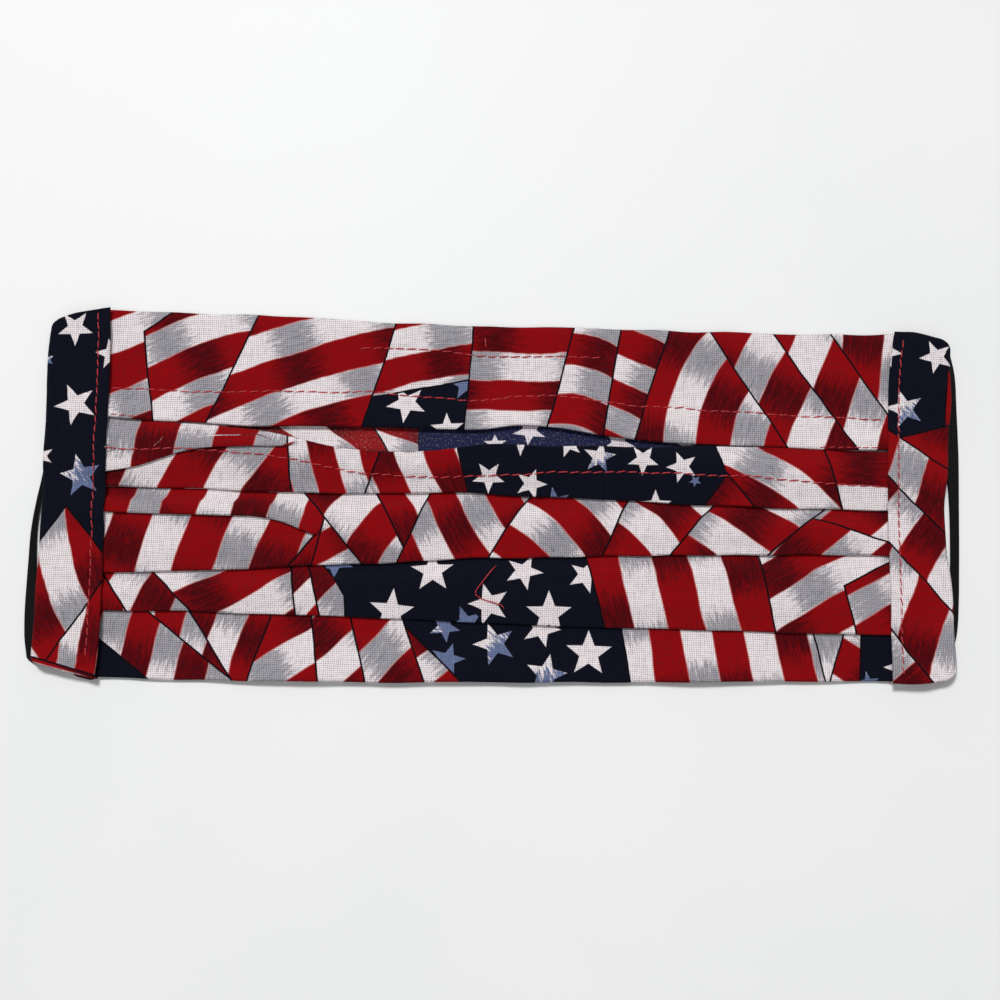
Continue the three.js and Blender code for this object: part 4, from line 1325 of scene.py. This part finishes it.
left = Sleeve(-1, LEFT_FOLD, LEFT_SEWN, LEFT_UP, LEFT_DOWN, 61)
right = Sleeve(1, RIGHT_FOLD, RIGHT_SEWN, RIGHT_UP, RIGHT_DOWN, 71)
left_stack, right_stack = stack_height(-1, body, lining), stack_height(1, body, lining)
casing_left = casing("casing_cloth_left", left, *left_stack, print_material("print_casing_left", LEFT_PATCHES, LEFT_STARS, grown=1.013, raised=0.45), panels["wrong"])
casing_right = casing(
    "casing_cloth_right", right, *right_stack, print_material("print_casing_right", RIGHT_PATCHES, RIGHT_STARS, grown=1.013, raised=0.45), panels["wrong"]
)
elastic = elastic_material()
strap_left = strap("elastic_left", left, LEFT_ROUTE_Y, LEFT_ROUTE, LEFT_CURL, elastic)
strap_right = strap("elastic_right", right, RIGHT_ROUTE_Y, RIGHT_ROUTE, RIGHT_CURL, elastic)
outward(body, lining, casing_left, casing_right, strap_left, strap_right)

# The lighter red is the painted highlight on the twist's crests and paler fibres.
red_thread = thread_material("red_thread", linear(132, 6, 18), linear(206, 38, 50))
cloth_top = Surface(body, lining, casing_left, casing_right)


def sleeve_path(sleeve, inset, low, high):
    y = np.arange(low, high, 0.4)
    x = sleeve.side * (sleeve.reach(0 * y, y) + inset)
    return np.stack([x, y], axis=1)


channel_seam = through(CHANNEL_X, SEAM_CHANNEL, X)
band_lines = [
    sewn_line(along_x(seam_band, -81.5, 80.5), cloth_top, 101),
    sewn_line(along_x(channel_seam, -29.5, 22), cloth_top, 102),
    sewn_line([(-3.2, 33.9), (-3.3, 30)], cloth_top, 103),
    sewn_line(along_x(band_edge + 0.35, -81, -75), cloth_top, 104, pitch=1.5, radius=0.09),
    sewn_line(along_x(band_edge + 0.3, 66, 79.5), cloth_top, 105, pitch=1.5, radius=0.09),
]
seam_groups = {
    "stitches_upper_lining": (lining, band_lines),
    "stitches_lower_lining": (body, [sewn_line(along_x(seam_lip, -81.5, 80.5), cloth_top, 106)]),
    "stitches_casing_left": (casing_left, [sewn_line(sleeve_path(left, LEFT_INSET, -34.5, 37.6), cloth_top, 107, pitch=1.75)]),
    "stitches_casing_right": (casing_right, [sewn_line(sleeve_path(right, RIGHT_INSET, -35.4, 35.2), cloth_top, 108, pitch=1.75)]),
}
seams = {}
for seam_name, (host, found) in seam_groups.items():
    lines = [line for part in found for line in part[0]]
    radii = [radius for part in found for radius in part[1]]
    seams[seam_name] = (host, tubes(seam_name, lines, radii, 7, (red_thread,)))


def loose_thread(name, path, radius, lift, material, seed):
    """A thread end that lies on the cloth. lift gives its height over the cloth at each place."""
    path = np.asarray(path, float)
    knots = np.linspace(0, 1, len(path))
    share = np.linspace(0, 1, 46)
    x, y, rise = (through(knots, values, share) for values in (path[:, 0], path[:, 1], lift))
    tops = np.array([cloth_top.top(a, b)[0] for a, b in zip(x, y)])
    soft = np.convolve(np.pad(tops, 3, mode="edge"), np.ones(7) / 7, "valid")
    z = np.maximum(soft, tops) + rise + radius * 0.8
    x = x + 0.05 * ripple(30 * share, 0 * share, 9, seed)
    taper = radius * np.minimum(1, 0.35 + 8 * np.minimum(share, 1 - share))
    return tubes(name, [np.stack([x, y, z], axis=1)], [taper], 7, (material,))


red_end = loose_thread(
    "loose_red_thread",
    [(-0.2, -14.2), (-1.7, -16.1), (-4.2, -19.6), (-3.4, -20.9), (-2.2, -21.4), (0.9, -22.3), (1.6, -23.2)],
    0.11,
    (0.5, 0.9, 0.3, 0.0, 0.1, 0.3, 0.0),
    red_thread,
    111,
)
pale_thread = thread_material("pale_lint", linear(190, 120, 112), linear(222, 190, 182))
lint = loose_thread(
    "loose_lint", [(-69.4, 11.2), (-69.9, 10.4), (-70.6, 9.8), (-71.3, 9.0)], 0.03, (0.0, 0.08, 0.08, 0.0), pale_thread, 112
)

for piece in (body, lining, casing_left, casing_right, strap_left, strap_right, red_end, lint):
    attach(piece, "root")
for host, stitched in seams.values():
    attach(stitched, "root")

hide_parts("pleated_body")
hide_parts("upper_lining")
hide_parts("casing_left")
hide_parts("casing_right")
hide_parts("ear_loop_left")
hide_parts("ear_loop_right")

bpy.ops.mesh.primitive_plane_add(size=6.0, location=(0, 0, 0))
table = bpy.context.object
table.name = "table_top"
table.data.materials.append(table_material())


def area_light(name, place, size, power, aim=(0, 0, 0)):
    data = bpy.data.lights.new(name, "AREA")
    data.shape, data.size, data.energy = "DISK", size, power
    made = bpy.data.objects.new(name, data)
    bpy.context.scene.collection.objects.link(made)
    made.location = place
    made.rotation_euler = (Vector(aim) - Vector(place)).to_track_quat("-Z", "Y").to_euler()
    return made


area_light("main_light", (-0.45, 1.2, 2.3), 0.6, 50.0)
area_light("fill_light", (0.3, -1.0, 1.6), 1.2, 3.0)
world = bpy.data.worlds.new("studio")
world.use_nodes = True
world.node_tree.nodes["Background"].inputs["Color"].default_value = (0.96, 0.98, 1.0, 1.0)
world.node_tree.nodes["Background"].inputs["Strength"].default_value = 0.31
bpy.context.scene.world = world
bpy.context.scene.view_settings.view_transform = "Standard"

camera_data = bpy.data.cameras.new("photo_camera")
camera_data.lens, camera_data.sensor_width = 54.0, 36.0
camera_data.clip_start, camera_data.clip_end = 0.01, 20.0
camera = bpy.data.objects.new("photo_camera", camera_data)
bpy.context.scene.collection.objects.link(camera)
TILT, ROLL = math.radians(8.2), math.radians(1.0)
forward = Vector((0, math.sin(TILT), -math.cos(TILT)))
up = Vector((0, math.cos(TILT), math.sin(TILT)))
side = forward.cross(up)
rolled_side = side * math.cos(ROLL) + up * math.sin(ROLL)
rolled_up = up * math.cos(ROLL) - side * math.sin(ROLL)
camera.location = Vector(places((0.37, -44.7, 307.6)))
turned = [[rolled_side[i], rolled_up[i], -forward[i]] for i in range(3)]
from mathutils import Matrix

camera.rotation_euler = Matrix(turned).to_euler()
bpy.context.scene.camera = camera

bpy.context.view_layer.update()
